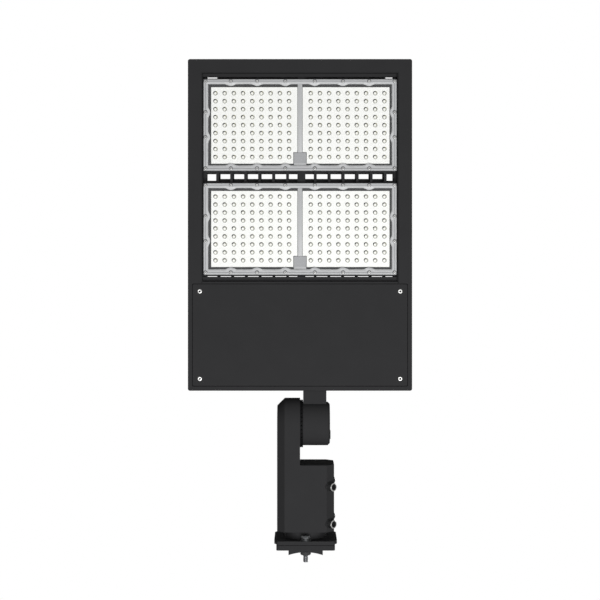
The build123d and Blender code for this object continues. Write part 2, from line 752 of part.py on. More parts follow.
with BuildPart() as supply_terminal:
    with BuildSketch(head_plane(bay_floor_depth, terminal_z, terminal_x)):
        Rectangle(terminal_length, terminal_height)
    extrude(amount=terminal_depth)
    with BuildSketch(head_plane(bay_floor_depth - terminal_depth, terminal_z, terminal_x)):
        with GridLocations(terminal_length / terminal_poles, 0, terminal_poles, 1):
            Circle(terminal_hole_radius)
    extrude(amount=-terminal_depth / 2, mode=Mode.SUBTRACT)
supply_terminal.part.label = "supply_terminal"
export_step(supply_terminal.part, "parts/supply_terminal.step")

with BuildPart() as lead_junction:
    with BuildSketch(head_plane(bay_floor_depth, junction_z, fin_shift)):
        Rectangle(junction_width, junction_height)
    extrude(amount=bay_floor_depth - junction_front)
lead_junction.part.label = "lead_junction"
export_step(lead_junction.part, "parts/lead_junction.step")

with BuildPart() as breather_vent:
    with BuildSketch(head_plane(bay_depth, vent_z, vent_x)):
        RegularPolygon(vent_head_radius, 6, major_radius=False)
    extrude(amount=-vent_head_height)
    chamfer(breather_vent.faces().sort_by(Axis.Y)[-1].edges(), vent_chamfer)
    with BuildSketch(head_plane(bay_depth, vent_z, vent_x)):
        Circle(vent_radius)
    extrude(amount=skin + vent_nut_height)
    with BuildSketch(head_plane(bay_floor_depth, vent_z, vent_x)):
        RegularPolygon(vent_head_radius, 6, major_radius=False)
    extrude(amount=vent_nut_height)
breather_vent.part.label = "breather_vent"
export_step(breather_vent.part, "parts/breather_vent.step")

# Knuckle: the arm casting, its cap, tooth ring and bush turn with the head
with BuildPart() as knuckle_arm:
    with BuildSketch(knuckle_plane(barrel_left)):
        Circle(barrel_radius)
    extrude(amount=barrel_right - barrel_left)
    chamfer(knuckle_arm.edges().group_by(Axis.X)[-1], barrel_chamfer)
    with BuildSketch(Plane.XY.offset(knuckle_height)):
        with Locations((arm_x, arm_y)):
            Rectangle(arm_width, arm_depth)
    extrude(amount=arm_top - knuckle_height)
    with BuildSketch(knuckle_plane(cap_left)):
        Circle(cap_radius + thread_gap)
    extrude(amount=cap_thickness, mode=Mode.SUBTRACT)
    with BuildSketch(knuckle_plane(hub_right)):
        Circle(recess_radius)
    extrude(amount=cap_left - hub_right, mode=Mode.SUBTRACT)
    with BuildSketch(knuckle_plane(barrel_left)):
        Circle(bush_radius + thread_gap)
        with Locations((-wire_hole_offset, 0)):
            Circle(wire_hole_radius)
    extrude(amount=hub_right - barrel_left, mode=Mode.SUBTRACT)
    with BuildSketch(knuckle_plane(hub_right)):
        with Locations((0, -lock_screw_offset)):
            Circle(lock_screw_radius + thread_gap)
    extrude(amount=-lock_screw_grip, mode=Mode.SUBTRACT)
    with BuildSketch(Plane.XY.offset(arm_top)):
        with Locations((arm_x, arm_y)):
            Circle(arm_bore)
    extrude(amount=knuckle_height + recess_radius / 2 - arm_top, mode=Mode.SUBTRACT)
    with BuildSketch(Plane.XY.offset(arm_top)):
        with Locations(*arm_screw_points()):
            Circle(arm_screw_radius + thread_gap)
    extrude(amount=-arm_screw_grip, mode=Mode.SUBTRACT)
knuckle_arm.part.label = "knuckle_arm"
export_step(knuckle_arm.part, "parts/knuckle_arm.step")

with BuildPart() as knuckle_cap:
    with BuildSketch(knuckle_plane(cap_left)):
        Circle(cap_radius)
        with Locations((0, -lock_screw_offset)):
            Circle(lock_screw_radius + hole_gap, mode=Mode.SUBTRACT)
    extrude(amount=cap_thickness)
knuckle_cap.part.label = "knuckle_cap"
export_step(knuckle_cap.part, "parts/knuckle_cap.step")

with BuildPart() as tilt_lock_screw:
    with BuildSketch(knuckle_plane(barrel_right)):
        with Locations((0, -lock_screw_offset)):
            Circle(lock_screw_head_radius)
    extrude(amount=lock_screw_head_height)
    with BuildSketch(knuckle_plane(barrel_right)):
        with Locations((0, -lock_screw_offset)):
            Circle(lock_screw_radius)
    extrude(amount=hub_right - lock_screw_grip + blind_floor - barrel_right)
    with BuildSketch(knuckle_plane(barrel_right + lock_screw_head_height)):
        with Locations((0, -lock_screw_offset)):
            RegularPolygon(lock_screw_socket, 6)
    extrude(amount=-lock_screw_socket, mode=Mode.SUBTRACT)
tilt_lock_screw.part.label = "tilt_lock_screw"
export_step(tilt_lock_screw.part, "parts/tilt_lock_screw.step")


def make_tooth_ring(label, back, way):
    """Ring with flat-topped radial teeth, from its back face towards the other ring."""
    with BuildPart() as ring:
        with BuildSketch(knuckle_plane(back)):
            Circle(ring_radius)
            Circle(ring_bore, mode=Mode.SUBTRACT)
        extrude(amount=way * ring_thickness)
        with BuildSketch(knuckle_plane(back + way * ring_thickness)):
            with PolarLocations((ring_radius + ring_bore) / 2, ring_tooth_count):
                Rectangle(ring_radius, ring_tooth_width)
        extrude(amount=-way * ring_tooth_depth, mode=Mode.SUBTRACT)
    ring.part.label = label
    export_step(ring.part, f"parts/{label}.step")


make_tooth_ring("fitter_tooth_ring", ring_left, 1)
make_tooth_ring("arm_tooth_ring", barrel_left, -1)

with BuildPart() as pivot_bush:
    with BuildSketch(knuckle_plane(barrel_left)):
        Circle(bush_radius)
        Circle(pivot_radius + running_gap, mode=Mode.SUBTRACT)
    extrude(amount=hub_right - barrel_left)
pivot_bush.part.label = "pivot_bush"
export_step(pivot_bush.part, "parts/pivot_bush.step")

with BuildPart() as arm_gasket:
    with BuildSketch(Plane.XY.offset(arm_top)):
        with Locations((arm_x, arm_y)):
            Rectangle(arm_width - 2 * arm_gasket_inset, arm_depth - 2 * arm_gasket_inset)
            Circle(arm_bore, mode=Mode.SUBTRACT)
        with Locations(*arm_screw_points()):
            Circle(arm_screw_radius + hole_gap, mode=Mode.SUBTRACT)
    extrude(amount=arm_gasket_height)
arm_gasket.part.label = "arm_gasket"
export_step(arm_gasket.part, "parts/arm_gasket.step")

with BuildPart() as arm_screws:
    with BuildSketch(Plane.XY.offset(cavity_bottom)):
        with Locations(*arm_screw_points()):
            Circle(arm_screw_head_radius)
            RegularPolygon(arm_screw_radius, 6, mode=Mode.SUBTRACT)
    extrude(amount=arm_screw_head_height)
    with BuildSketch(Plane.XY.offset(cavity_bottom)):
        with Locations(*arm_screw_points()):
            Circle(arm_screw_radius)
    extrude(amount=arm_top - arm_screw_grip + blind_floor - cavity_bottom)
    with BuildSketch(Plane.XY.offset(cavity_bottom)):
        with Locations(*arm_screw_points()):
            Circle(arm_screw_head_radius)
    extrude(amount=arm_screw_head_height / 2)
arm_screws.part.label = "arm_screws"
export_step(arm_screws.part, "parts/arm_screws.step")

with BuildPart() as supply_gland:
    with BuildSketch(Plane.XY.offset(cavity_bottom)):
        with Locations((arm_x, arm_y)):
            RegularPolygon(gland_flats / 2, 6, major_radius=False)
    extrude(amount=gland_hex_height)
    with BuildSketch(Plane.XY.offset(cavity_bottom + gland_hex_height)):
        with Locations((arm_x, arm_y)):
            Circle(gland_nut_radius)
    extrude(amount=gland_nut_height)
    chamfer(supply_gland.edges().group_by(Axis.Z)[-1], gland_nut_radius / 4)
    with BuildSketch(Plane.XY.offset(cavity_bottom)):
        with Locations((arm_x, arm_y)):
            Circle(arm_bore - thread_gap)
    extrude(amount=housing_bottom - cavity_bottom)
    with BuildSketch(Plane.XY.offset(housing_bottom)):
        with Locations((arm_x, arm_y)):
            Circle(gland_bore)
    gland_length = cavity_bottom - housing_bottom + gland_hex_height + gland_nut_height
    extrude(amount=gland_length, mode=Mode.SUBTRACT)
supply_gland.part.label = "supply_gland"
export_step(supply_gland.part, "parts/supply_gland.step")

# Slip fitter: a sleeve over the spigot with one tall cheek that carries the knuckle
with BuildPart() as slip_fitter:
    with BuildSketch(Plane.XY.offset(sleeve_bottom)) as sleeve_outline:
        Rectangle(fitter_width, fitter_depth)
        chamfer(sleeve_outline.vertices(), fitter_chamfer)
    extrude(amount=sleeve_top - sleeve_bottom)
    with BuildSketch(Plane.XY.offset(sleeve_top - sleeve_ceiling)) as cheek_outline:
        span(-fitter_width / 2, ring_left, -fitter_depth / 2, fitter_depth / 2)
        chamfer(cheek_outline.vertices().group_by(Axis.X)[0], fitter_chamfer)
    extrude(amount=knuckle_height - bore_top)
    with BuildSketch(Plane.XY.offset(knuckle_height)):
        with BuildLine():
            Polyline(
                (-fitter_width / 2, 0),
                (ring_left, 0),
                (ring_left, fitter_depth / 2),
                (fitter_chamfer - fitter_width / 2, fitter_depth / 2),
                (-fitter_width / 2, fitter_depth / 2 - fitter_chamfer),
                close=True,
            )
        make_face()
    revolve(axis=Axis((0, 0, knuckle_height), (1, 0, 0)), revolution_arc=180)
    # Bosses for the set screws on the sleeve's right-hand chamfers
    for height in set_screw_heights:
        for turn in (-set_screw_turn, set_screw_turn):
            with BuildSketch(set_screw_plane(turn, height, chamfer_reach - skin)):
                Circle(set_screw_boss_radius)
            extrude(amount=skin + set_screw_boss_height)
    # Bore for the spigot, and the cable way up the cheek around the pivot's boss
    with BuildSketch(Plane.XY.offset(sleeve_bottom)):
        Circle(sleeve_bore)
    extrude(amount=bore_top - sleeve_bottom, mode=Mode.SUBTRACT)
    cavity_left = cheek_wall - fitter_width / 2
    with BuildSketch(knuckle_plane(cavity_left)):
        drop = bore_top - overlap - knuckle_height
        span(-cheek_cavity_depth / 2, cheek_cavity_depth / 2, drop, cheek_cavity_rise)
        Circle(pivot_boss, mode=Mode.SUBTRACT)
    extrude(amount=ring_left - cheek_wall - cavity_left, mode=Mode.SUBTRACT)
    with BuildSketch(knuckle_plane(ring_left)):
        Circle(pivot_radius + thread_gap)
    extrude(amount=-pivot_grip - blind_floor, mode=Mode.SUBTRACT)
    with BuildSketch(knuckle_plane(ring_left)):
        with Locations((-wire_hole_offset, 0)):
            Circle(wire_hole_radius)
    extrude(amount=-cheek_wall, mode=Mode.SUBTRACT)
    for height in set_screw_heights:
        for turn in (-set_screw_turn, set_screw_turn):
            with BuildSketch(set_screw_plane(turn, height, spigot_radius)):
                Circle(set_screw_radius + thread_gap)
            extrude(amount=chamfer_reach + set_screw_boss_height - spigot_radius, mode=Mode.SUBTRACT)
slip_fitter.part.label = "slip_fitter"
export_step(slip_fitter.part, "parts/slip_fitter.step")

with BuildPart() as set_screws:
    seat = chamfer_reach + set_screw_boss_height
    for height in set_screw_heights:
        for turn in (-set_screw_turn, set_screw_turn):
            with BuildSketch(set_screw_plane(turn, height, seat)):
                Circle(set_screw_head_radius)
            extrude(amount=set_screw_head_height)
            with BuildSketch(set_screw_plane(turn, height, seat)):
                Circle(set_screw_radius)
            extrude(amount=spigot_radius + running_gap - seat)
            with BuildSketch(set_screw_plane(turn, height, seat + set_screw_head_height)):
                RegularPolygon(set_screw_socket, 6)
            extrude(amount=-set_screw_socket_depth, mode=Mode.SUBTRACT)
set_screws.part.label = "set_screws"
export_step(set_screws.part, "parts/set_screws.step")

# Pivot bolt with its washers, and the seal between cheek and barrel
with BuildPart() as pivot_bolt:
    with BuildSketch(knuckle_plane(pivot_head_left)):
        RegularPolygon(pivot_head_flats / 2, 6, major_radius=False)
    extrude(amount=pivot_head_height)
    with BuildSketch(knuckle_plane(ring_left - pivot_grip)):
        Circle(pivot_radius)
    extrude(amount=pivot_head_left - ring_left + pivot_grip)
pivot_bolt.part.label = "pivot_bolt"
export_step(pivot_bolt.part, "parts/pivot_bolt.step")

with BuildPart() as pivot_washer:
    with BuildSketch(knuckle_plane(washer_left)):
        Circle(pivot_washer_radius)
        Circle(pivot_radius + thread_gap, mode=Mode.SUBTRACT)
    extrude(amount=pivot_washer_height)
pivot_washer.part.label = "pivot_washer"
export_step(pivot_washer.part, "parts/pivot_washer.step")

with BuildPart() as pivot_lock_washer:
    with BuildSketch(knuckle_plane(lock_washer_left)):
        Circle(pivot_lock_washer_radius)
        Circle(pivot_radius + thread_gap, mode=Mode.SUBTRACT)
        span(0, pivot_lock_washer_radius + overlap, -slot_half, slot_half, Mode.SUBTRACT)
    extrude(amount=pivot_washer_height)
pivot_lock_washer.part.label = "pivot_lock_washer"
export_step(pivot_lock_washer.part, "parts/pivot_lock_washer.step")

with BuildPart() as knuckle_seal:
    with BuildSketch(Plane.XY.offset(knuckle_height)):
        with Locations((ring_left + seal_cord + thread_gap, seal_radius)):
            Circle(seal_cord)
    revolve(axis=Axis((0, 0, knuckle_height), (1, 0, 0)))
knuckle_seal.part.label = "knuckle_seal"
export_step(knuckle_seal.part, "parts/knuckle_seal.step")

# Pole adapter: spigot, flange and lower plate over a saddle that fits the side of a round pole
with BuildPart() as pole_adapter:
    with BuildSketch(Plane.XY):
        RectangleRounded(plate_width, plate_depth, flange_corner)
    extrude(amount=plate_height)
    with BuildSketch(Plane.XY.offset(plate_height)):
        RectangleRounded(plate_width, flange_depth, flange_corner)
        RectangleRounded(flange_width, flange_depth - 2 * ear_setback, ear_corner)
    extrude(amount=flange_height)
    with BuildSketch(Plane.XY.offset(flange_top)):
        Circle(spigot_radius)
    extrude(amount=spigot_top - flange_top)
    with BuildSketch(Plane.XY):
        Rectangle(saddle_width, plate_depth)
    extrude(amount=-saddle_drop)
    pole_end = (0, plate_depth / 2, -saddle_arch - pole_radius)
    with BuildSketch(Plane(pole_end, x_dir=(1, 0, 0), z_dir=(0, -1, 0))):
        Circle(pole_radius)
    extrude(amount=plate_depth, mode=Mode.SUBTRACT)
    with BuildSketch(Plane.XY.offset(flange_top)):
        Circle(spigot_radius - spigot_wall)
    extrude(amount=spigot_top - flange_top, mode=Mode.SUBTRACT)
    with BuildSketch(Plane.XY.offset(flange_top)):
        Circle(cable_hole_radius)
        with Locations(*pole_bolt_points()):
            Circle(pole_bolt_radius + hole_gap)
    extrude(amount=-flange_top - saddle_drop, mode=Mode.SUBTRACT)
    with BuildSketch(Plane.XY.offset(spot_face)):
        with Locations(*pole_bolt_points()):
            Circle(pole_seal_radius + hole_gap)
    extrude(amount=-saddle_drop, mode=Mode.SUBTRACT)
pole_adapter.part.label = "pole_adapter"
export_step(pole_adapter.part, "parts/pole_adapter.step")

with BuildPart() as pole_bolts:
    with BuildSketch(Plane.XY.offset(pole_bolt_seat)):
        with Locations(*pole_bolt_points()):
            RegularPolygon(pole_bolt_flats / 2, 6, major_radius=False)
    extrude(amount=pole_bolt_head_height)
    with BuildSketch(Plane.XY.offset(pole_bolt_seat)):
        with Locations(*pole_bolt_points()):
            Circle(pole_bolt_radius - pole_bolt_neck)
    extrude(amount=-pole_seal_tip - pole_bolt_seat)
    with BuildSketch(Plane.XY.offset(-pole_seal_tip)):
        with Locations(*pole_bolt_points()):
            Circle(pole_bolt_radius)
    extrude(amount=pole_seal_tip - pole_bolt_tip)
    chamfer(pole_bolts.edges().group_by(Axis.Z)[0], pole_bolt_radius / 5)
pole_bolts.part.label = "pole_bolts"
export_step(pole_bolts.part, "parts/pole_bolts.step")

with BuildPart() as pole_bolt_washers:
    with BuildSketch(Plane.XY.offset(flange_top)):
        with Locations(*pole_bolt_points()):
            Circle(washer_radius)
            Circle(pole_bolt_radius + thread_gap, mode=Mode.SUBTRACT)
    extrude(amount=washer_height)
pole_bolt_washers.part.label = "pole_bolt_washers"
export_step(pole_bolt_washers.part, "parts/pole_bolt_washers.step")

with BuildPart() as pole_bolt_lock_washers:
    with BuildSketch(Plane.XY.offset(flange_top + washer_height)):
        with Locations(*pole_bolt_points()):
            Circle(lock_washer_radius)
            Circle(pole_bolt_radius + thread_gap, mode=Mode.SUBTRACT)
            span(0, lock_washer_radius + overlap, -slot_half, slot_half, Mode.SUBTRACT)
    extrude(amount=lock_washer_height)
pole_bolt_lock_washers.part.label = "pole_bolt_lock_washers"
export_step(pole_bolt_lock_washers.part, "parts/pole_bolt_lock_washers.step")

with BuildPart() as pole_bolt_seals:
    with BuildSketch(Plane.XY.offset(-pole_seal_tip)):
        with Locations(*pole_bolt_points()):
            Circle(pole_seal_radius)
            Circle(pole_bolt_radius + thread_gap, mode=Mode.SUBTRACT)
    extrude(amount=spot_face + pole_seal_tip)
    outer_edges = pole_bolt_seals.edges().group_by(Axis.Z)[0].sort_by(SortBy.RADIUS)[-2:]
    chamfer(outer_edges, pole_seal_chamfer)
pole_bolt_seals.part.label = "pole_bolt_seals"
export_step(pole_bolt_seals.part, "parts/pole_bolt_seals.step")
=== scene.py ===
import json
import logging
import math
from dataclasses import dataclass
from enum import Enum

import bmesh
import bpy
from mathutils import Matrix, Vector


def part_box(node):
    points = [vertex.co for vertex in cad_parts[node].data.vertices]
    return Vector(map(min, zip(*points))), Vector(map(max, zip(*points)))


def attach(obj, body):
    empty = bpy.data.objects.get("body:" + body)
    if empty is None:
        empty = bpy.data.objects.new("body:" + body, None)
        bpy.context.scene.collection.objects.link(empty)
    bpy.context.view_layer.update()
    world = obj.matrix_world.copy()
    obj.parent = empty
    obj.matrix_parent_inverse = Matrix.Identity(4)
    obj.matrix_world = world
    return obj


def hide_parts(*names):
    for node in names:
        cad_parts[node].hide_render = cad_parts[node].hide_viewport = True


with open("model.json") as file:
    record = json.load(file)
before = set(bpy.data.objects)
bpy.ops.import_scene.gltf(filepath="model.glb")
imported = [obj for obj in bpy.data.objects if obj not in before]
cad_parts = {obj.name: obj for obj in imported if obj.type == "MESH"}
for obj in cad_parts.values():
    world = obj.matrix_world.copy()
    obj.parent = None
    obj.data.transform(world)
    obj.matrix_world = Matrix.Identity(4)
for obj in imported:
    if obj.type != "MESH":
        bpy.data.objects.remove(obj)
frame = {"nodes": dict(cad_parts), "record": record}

# Looks of a pole light: finishes for the cast and turned pieces, and fuller meshes for its lenses,
# optics, screws and bolts. Sizes are millimetres unless a name says otherwise; Blender's are metres.
MM = 0.001
LOG = logging.getLogger("pole_light")
WHITE = "#ffffff"
UP = Vector((0, 0, 1))
LENS_SIDE = Vector((0, -1, 0))
SEED = 7  # for the turns of the screws
RING_SIDES = 24  # sides of a turned piece, a multiple of six so that hexagons keep their corners
BLOCK_BEVEL = 0.12  # bevel of a block's edges, as a share of its least side
GRAIN_DETAIL = 3.0
DRIFT_DETAIL = 4.0

Point = tuple[float, float]
Covers = tuple[float, float, float, float]  # left, right, lower, upper
Box = tuple[Vector, Vector]
Mesh = bpy.types.Mesh
Piece = bpy.types.Object
Socket = bpy.types.NodeSocket
Tree = bpy.types.NodeTree


class Place(Enum):
    """The two lens modules, by where they sit in the housing."""

    UPPER = "upper"
    LOWER = "lower"


class Hand(Enum):
    """The two LED boards of a module, as seen from the lens side."""

    LEFT = "left"
    RIGHT = "right"


class Side(Enum):
    """The two sides of the adapter's plate, the front being the lens side."""

    FRONT = "front"
    BACK = "back"


class Edge(Enum):
    """How a ring of a turned piece runs round its axis."""

    ROUND = "round"
    HEX = "hex"


def linear(colour: str) -> tuple[float, float, float, float]:
    """Turns an sRGB hex value into a linear colour, by the curve that sRGB is defined with.

    Args:
        colour: six hex digits after a hash sign.

    Returns:
        Red, green, blue and a full alpha, linear.
    """
    shares = [int(colour[at:at + 2], 16) / 255 for at in (1, 3, 5)]
    red, green, blue = (s / 12.92 if s <= 0.04045 else ((s + 0.055) / 1.055) ** 2.4 for s in shares)
    return (red, green, blue, 1.0)


def add_node(tree: Tree, kind: str, inputs: dict | None = None, **settings: object) -> bpy.types.Node:
    """Adds one node to a shader or geometry tree.

    Args:
        tree: the tree that gets the node.
        kind: the node's type name.
        inputs: for each input's name or number, a value to set or an output socket to link.
        settings: the node's own properties.

    Returns:
        The new node.
    """
    node = tree.nodes.new(kind)
    for name, value in settings.items():
        setattr(node, name, value)
    for key, value in (inputs or {}).items():
        if isinstance(value, Socket):
            tree.links.new(value, node.inputs[key])
        else:
            node.inputs[key].default_value = value
    return node


@dataclass(frozen=True)
class Finish:
    """A surface: what it is made of, how it was made, and what that gives the eye.

    Attributes:
        name: the material and its process.
        colour: base colour, sRGB hex.
        roughness: of the shader.
        metallic: 1 for a bare metal.
        ior: of a plastic or coating; a metal keeps the default.
        specular: specular level of the shader.
        alpha: below 1 for a clear sheet.
        grain: width of the surface's grain.
        grain_height: height of that grain.
        shade: second colour that the surface drifts to, sRGB hex.
        drift: width of those patches.
        roughness_spread: how far the roughness goes up and down with the patches.
    """

    name: str
    colour: str
    roughness: float
    metallic: float = 0.0
    ior: float = 1.5
    specular: float = 0.5
    alpha: float = 1.0
    grain: float = 1.0
    grain_height: float = 0.02
    shade: str = ""
    drift: float = 30.0
    roughness_spread: float = 0.05

    def material(self) -> bpy.types.Material:
        """Makes the material the first time, and finds the same one afterwards.

        Returns:
            The material.
        """
        found = bpy.data.materials.get(self.name)
        if found:
            return found
        made = bpy.data.materials.new(self.name)
        made.use_nodes = True
        tree = made.node_tree
        shader = tree.nodes["Principled BSDF"]
        plain = {
            "Base Color": linear(self.colour),
            "Roughness": self.roughness,
            "Metallic": self.metallic,
            "IOR": self.ior,
            "Specular IOR Level": self.specular,
            "Alpha": self.alpha,
        }
        for name, value in plain.items():
            shader.inputs[name].default_value = value
        place = add_node(tree, "ShaderNodeTexCoord").outputs["Object"]
        self.pattern(tree, shader, place)
        return made

    def pattern(self, tree: Tree, shader: bpy.types.Node, place: Socket) -> None:
        """Adds the grain, the drift of the colour and the drift of the roughness.

        Args:
            tree: the material's tree.
            shader: its shader.
            place: coordinates of the surface, in metres.
        """
        grain, patches = (
            add_node(
                tree, "ShaderNodeTexNoise", {"Vector": place, "Scale": 1 / (width * MM), "Detail": detail}
            ).outputs["Fac"]
            for width, detail in ((self.grain, GRAIN_DETAIL), (self.drift, DRIFT_DETAIL))
        )
        bump = add_node(tree, "ShaderNodeBump", {"Height": grain, "Distance": self.grain_height * MM})
        tree.links.new(bump.outputs["Normal"], shader.inputs["Normal"])
        rough = add_node(tree, "ShaderNodeMapRange", {
            "Value": patches,
            "To Min": self.roughness - self.roughness_spread,
            "To Max": self.roughness + self.roughness_spread,
        })
        tree.links.new(rough.outputs["Result"], shader.inputs["Roughness"])
        if self.shade:
            mixed = add_node(
                tree,
                "ShaderNodeMix",
                {0: patches, 6: linear(self.colour), 7: linear(self.shade)},
                data_type="RGBA",
            )
            tree.links.new(mixed.outputs[2], shader.inputs["Base Color"])


# The real grains of the metals, the silicones and the moulded plastics are too fine to show at the
# camera's distance. They are drawn coarser, as wide as each value says.

# Matt black polyester powder coat on die-cast aluminium: a faint orange peel, real cells about 0.8 mm
# across, drawn twice as coarse so that they show, and hardly any sheen.
POWDER_COAT = Finish(
    "powder_coated_die_cast_aluminium", "#313132", 0.95, specular=0.01, grain=1.6, grain_height=0.02,
    shade="#353536", drift=40.0,
)
# Clear polycarbonate sheet, injection moulded: almost unseen, with a fine mist that softens what
# it mirrors.
CLEAR_SHEET = Finish(
    "clear_moulded_polycarbonate", "#f4f7f8", 0.3, ior=1.585, specular=0.1, alpha=0.02, grain=8.0,
    grain_height=0.005, roughness_spread=0.02,
)
# The same polycarbonate in the thick border, over the black seal, painted grey for the light that it pipes
# back; its other facets get lighter and darker copies of that grey as painted light and shade.
LENS_BORDER = Finish(
    "polycarbonate_border_face", "#bdbebf", 0.2, ior=1.585, grain=5.0, grain_height=0.01,
    shade="#aeafb1", drift=14.0, roughness_spread=0.06,
)
# Its outer edge and inner slope: a lighter copy, painted highlight for the light that they throw to the
# eye.
LENS_SLOPE = Finish(
    "polycarbonate_border_slope", "#cfd0d1", 0.35, ior=1.585, specular=0.3, grain=4.0, grain_height=0.01,
    shade="#bbbcbe", drift=10.0,
)
# The groove along the border: a darker copy, painted shade in the groove.
LENS_GROOVE = Finish(
    "polycarbonate_border_groove", "#7c7e80", 0.3, ior=1.585, grain=3.0, grain_height=0.01,
    shade="#8b8d8f", drift=8.0,
)
# Dark discs behind its screws, set a little above them: painted shade for the shaded upper walls of the
# recesses that the screws sit in.
LENS_RECESS_SHADE = Finish(
    "polycarbonate_screw_recess_painted_shade", "#434447", 0.3, ior=1.585, grain=2.0, grain_height=0.01,
    shade="#535457", drift=5.0,
)
# The flanks of the scallops, painted near white as a glint.
LENS_PAINTED_GLINT = Finish(
    "polycarbonate_scallop_painted_glint", "#d6d7d8", 0.4, ior=1.585, specular=0.2, grain=3.0, grain_height=0.01,
    shade="#c6c7c8", drift=6.0,
)
# Skirts of the moulded optics: clear plastic that dims the white board behind it.
OPTIC_SKIRT = Finish(
    "polycarbonate_optic_skirt", "#84857b", 0.25, ior=1.585, grain=2.0, grain_height=0.003,
    shade="#8f9086", drift=20.0,
)
# Their shoulders: dark olive discs set up and to the left of each optic, painted shade that shows as a dark
# crescent at its upper side.
OPTIC_SHOULDER_SHADE = Finish(
    "polycarbonate_optic_shoulder_painted_shade", "#262723", 0.3, ior=1.585, specular=0.1, grain=2.0, grain_height=0.003,
    shade="#2d2e29", drift=20.0,
)
# Crowns of the optics: they gather the white of the board behind them.
OPTIC_CROWN = Finish(
    "polycarbonate_optic_crown", "#fbfbf4", 0.1, ior=1.585, grain=2.0, grain_height=0.002,
)
# Middle rib of the lens, seen through the sheet: flat light grey.
LENS_RIB = Finish("frosted_polycarbonate_rib", "#b4b5b6", 0.45, ior=1.585, grain=1.2, grain_height=0.01)
# White solder mask on an aluminium core board: even, semi-gloss, with a slight wave from the print.
SOLDER_MASK = Finish(
    "white_solder_mask", "#fcfcfa", 0.45, grain=3.0, grain_height=0.002, shade="#f8f9f5", drift=22.0,
)
# Phosphor in silicone on the LED packages: matt lemon yellow.
PHOSPHOR = Finish(
    "phosphor_in_silicone", "#f5eba6", 0.55, grain=0.5, grain_height=0.01, shade="#efe08a", drift=3.0,
)
# Epoxy potting in the lead connectors: smooth mid grey, a little glossy.
POTTING = Finish(
    "grey_epoxy_potting", "#a6a7a9", 0.5, specular=0.25, grain=2.4, grain_height=0.005,
    shade="#9fa0a2", drift=9.0,
)
# Cold-headed stainless steel screws: half bright, with fine marks from the die.
STAINLESS = Finish(
    "cold_headed_stainless_steel", "#dadad8", 0.36, metallic=1.0, grain=0.7, grain_height=0.008,
    shade="#cececc", drift=4.0, roughness_spread=0.08,
)
# Small stainless screws, tumbled and passivated: grey, with no mirror in them.
PASSIVATED = Finish(
    "passivated_stainless_steel", "#aeaead", 0.42, metallic=1.0, grain=0.6, grain_height=0.006,
    shade="#a1a1a0", drift=3.0,
)
# Zinc-plated steel: dark, dull and cloudy.
ZINC = Finish(
    "zinc_plated_steel", "#434445", 0.5, metallic=1.0, grain=0.8, grain_height=0.012, shade="#38393a",
    drift=6.0, roughness_spread=0.1,
)
# The rolled thread of the same bolts, brighter than their heads.
ROLLED_ZINC = Finish(
    "rolled_zinc_plated_thread", "#646567", 0.45, metallic=1.0, grain=0.6, grain_height=0.01,
    shade="#58595b", drift=4.0, roughness_spread=0.08,
)
# Alloy steel on the rims of the set screws: grey, half bright and uneven, a painted highlight where the
# rims catch the light.
RIM_HIGHLIGHT_STEEL = Finish(
    "alloy_steel_painted_rim_highlight", "#a9a9a7", 0.34, metallic=1.0, grain=0.5, grain_height=0.01,
    shade="#979795", drift=2.5, roughness_spread=0.08,
)
# Black oxide on alloy steel: near black, oily, a little glossy. The same near black paints the shade inside
# the hexagon sockets of the stainless screws.
BLACK_OXIDE_AND_SOCKET_SHADE = Finish(
    "black_oxide_steel_and_painted_socket_shade", "#1b1b1c", 0.5, specular=0.2, grain=0.8, grain_height=0.01,
    shade="#242425", drift=4.0,
)
# The knuckle's tooth rings, painted near black with next to no sheen for the shade that they lie in.
TOOTH_RING_SHADE = Finish(
    "near_black_painted_tooth_ring_shade", "#131314", 0.6, specular=0.05, grain=0.5, grain_height=0.006,
    shade="#19191a", drift=5.0,
)
# Near-black bands in the gaps round the lenses and the cover, between the tooth rings and under the
# adapter's flange: painted shade in those gaps, no bloom, the blackest.
SEAM_SHADE = Finish(
    "near_black_painted_seam_shade", "#0d0d0e", 0.8, specular=0.05, grain=0.8, grain_height=0.015,
    shade="#121213", drift=6.0,
)
# Compression-moulded silicone: matt black with a dusty bloom. It also makes the dark band of painted shade
# over the boards' outer edges.
SILICONE = Finish(
    "moulded_silicone", "#1d1d1e", 0.72, grain=0.8, grain_height=0.015, shade="#262627", drift=12.0,
)
# Glass-filled nylon: black with a fine spark-eroded texture.
NYLON = Finish(
    "glass_filled_nylon", "#1f1f20", 0.52, grain=0.6, grain_height=0.02, shade="#252526", drift=8.0,
)
# Extruded rubber jacket of the module leads: dark and dull, a little uneven from the die.
LEAD_JACKET = Finish("extruded_rubber_jacket", "#222223", 0.62, grain=0.9, grain_height=0.01, drift=10.0)
# Bare aluminium driver case, folded from rolled sheet: bright, with a cloudy mill finish.
DRIVER_CASE = Finish(
    "rolled_aluminium_sheet", "#c9cbcc", 0.38, metallic=1.0, grain=1.1, grain_height=0.01, shade="#b7babc",
    drift=14.0,
)
# Sintered bronze of the pivot's bush: porous, an oily brown.
BRONZE = Finish(
    "sintered_bronze", "#a97c46", 0.42, metallic=1.0, grain=0.6, grain_height=0.02, shade="#8f6739",
)


def dress(finish: Finish, *nodes: str) -> None:
    """Gives CAD nodes a finish in their material slots.

    Args:
        finish: the finish.
        nodes: names of the nodes.
    """
    for name in nodes:
        for slot in frame["nodes"][name].material_slots:
            slot.material = finish.material()
        LOG.info("%s is dressed as %s", name, finish.name)


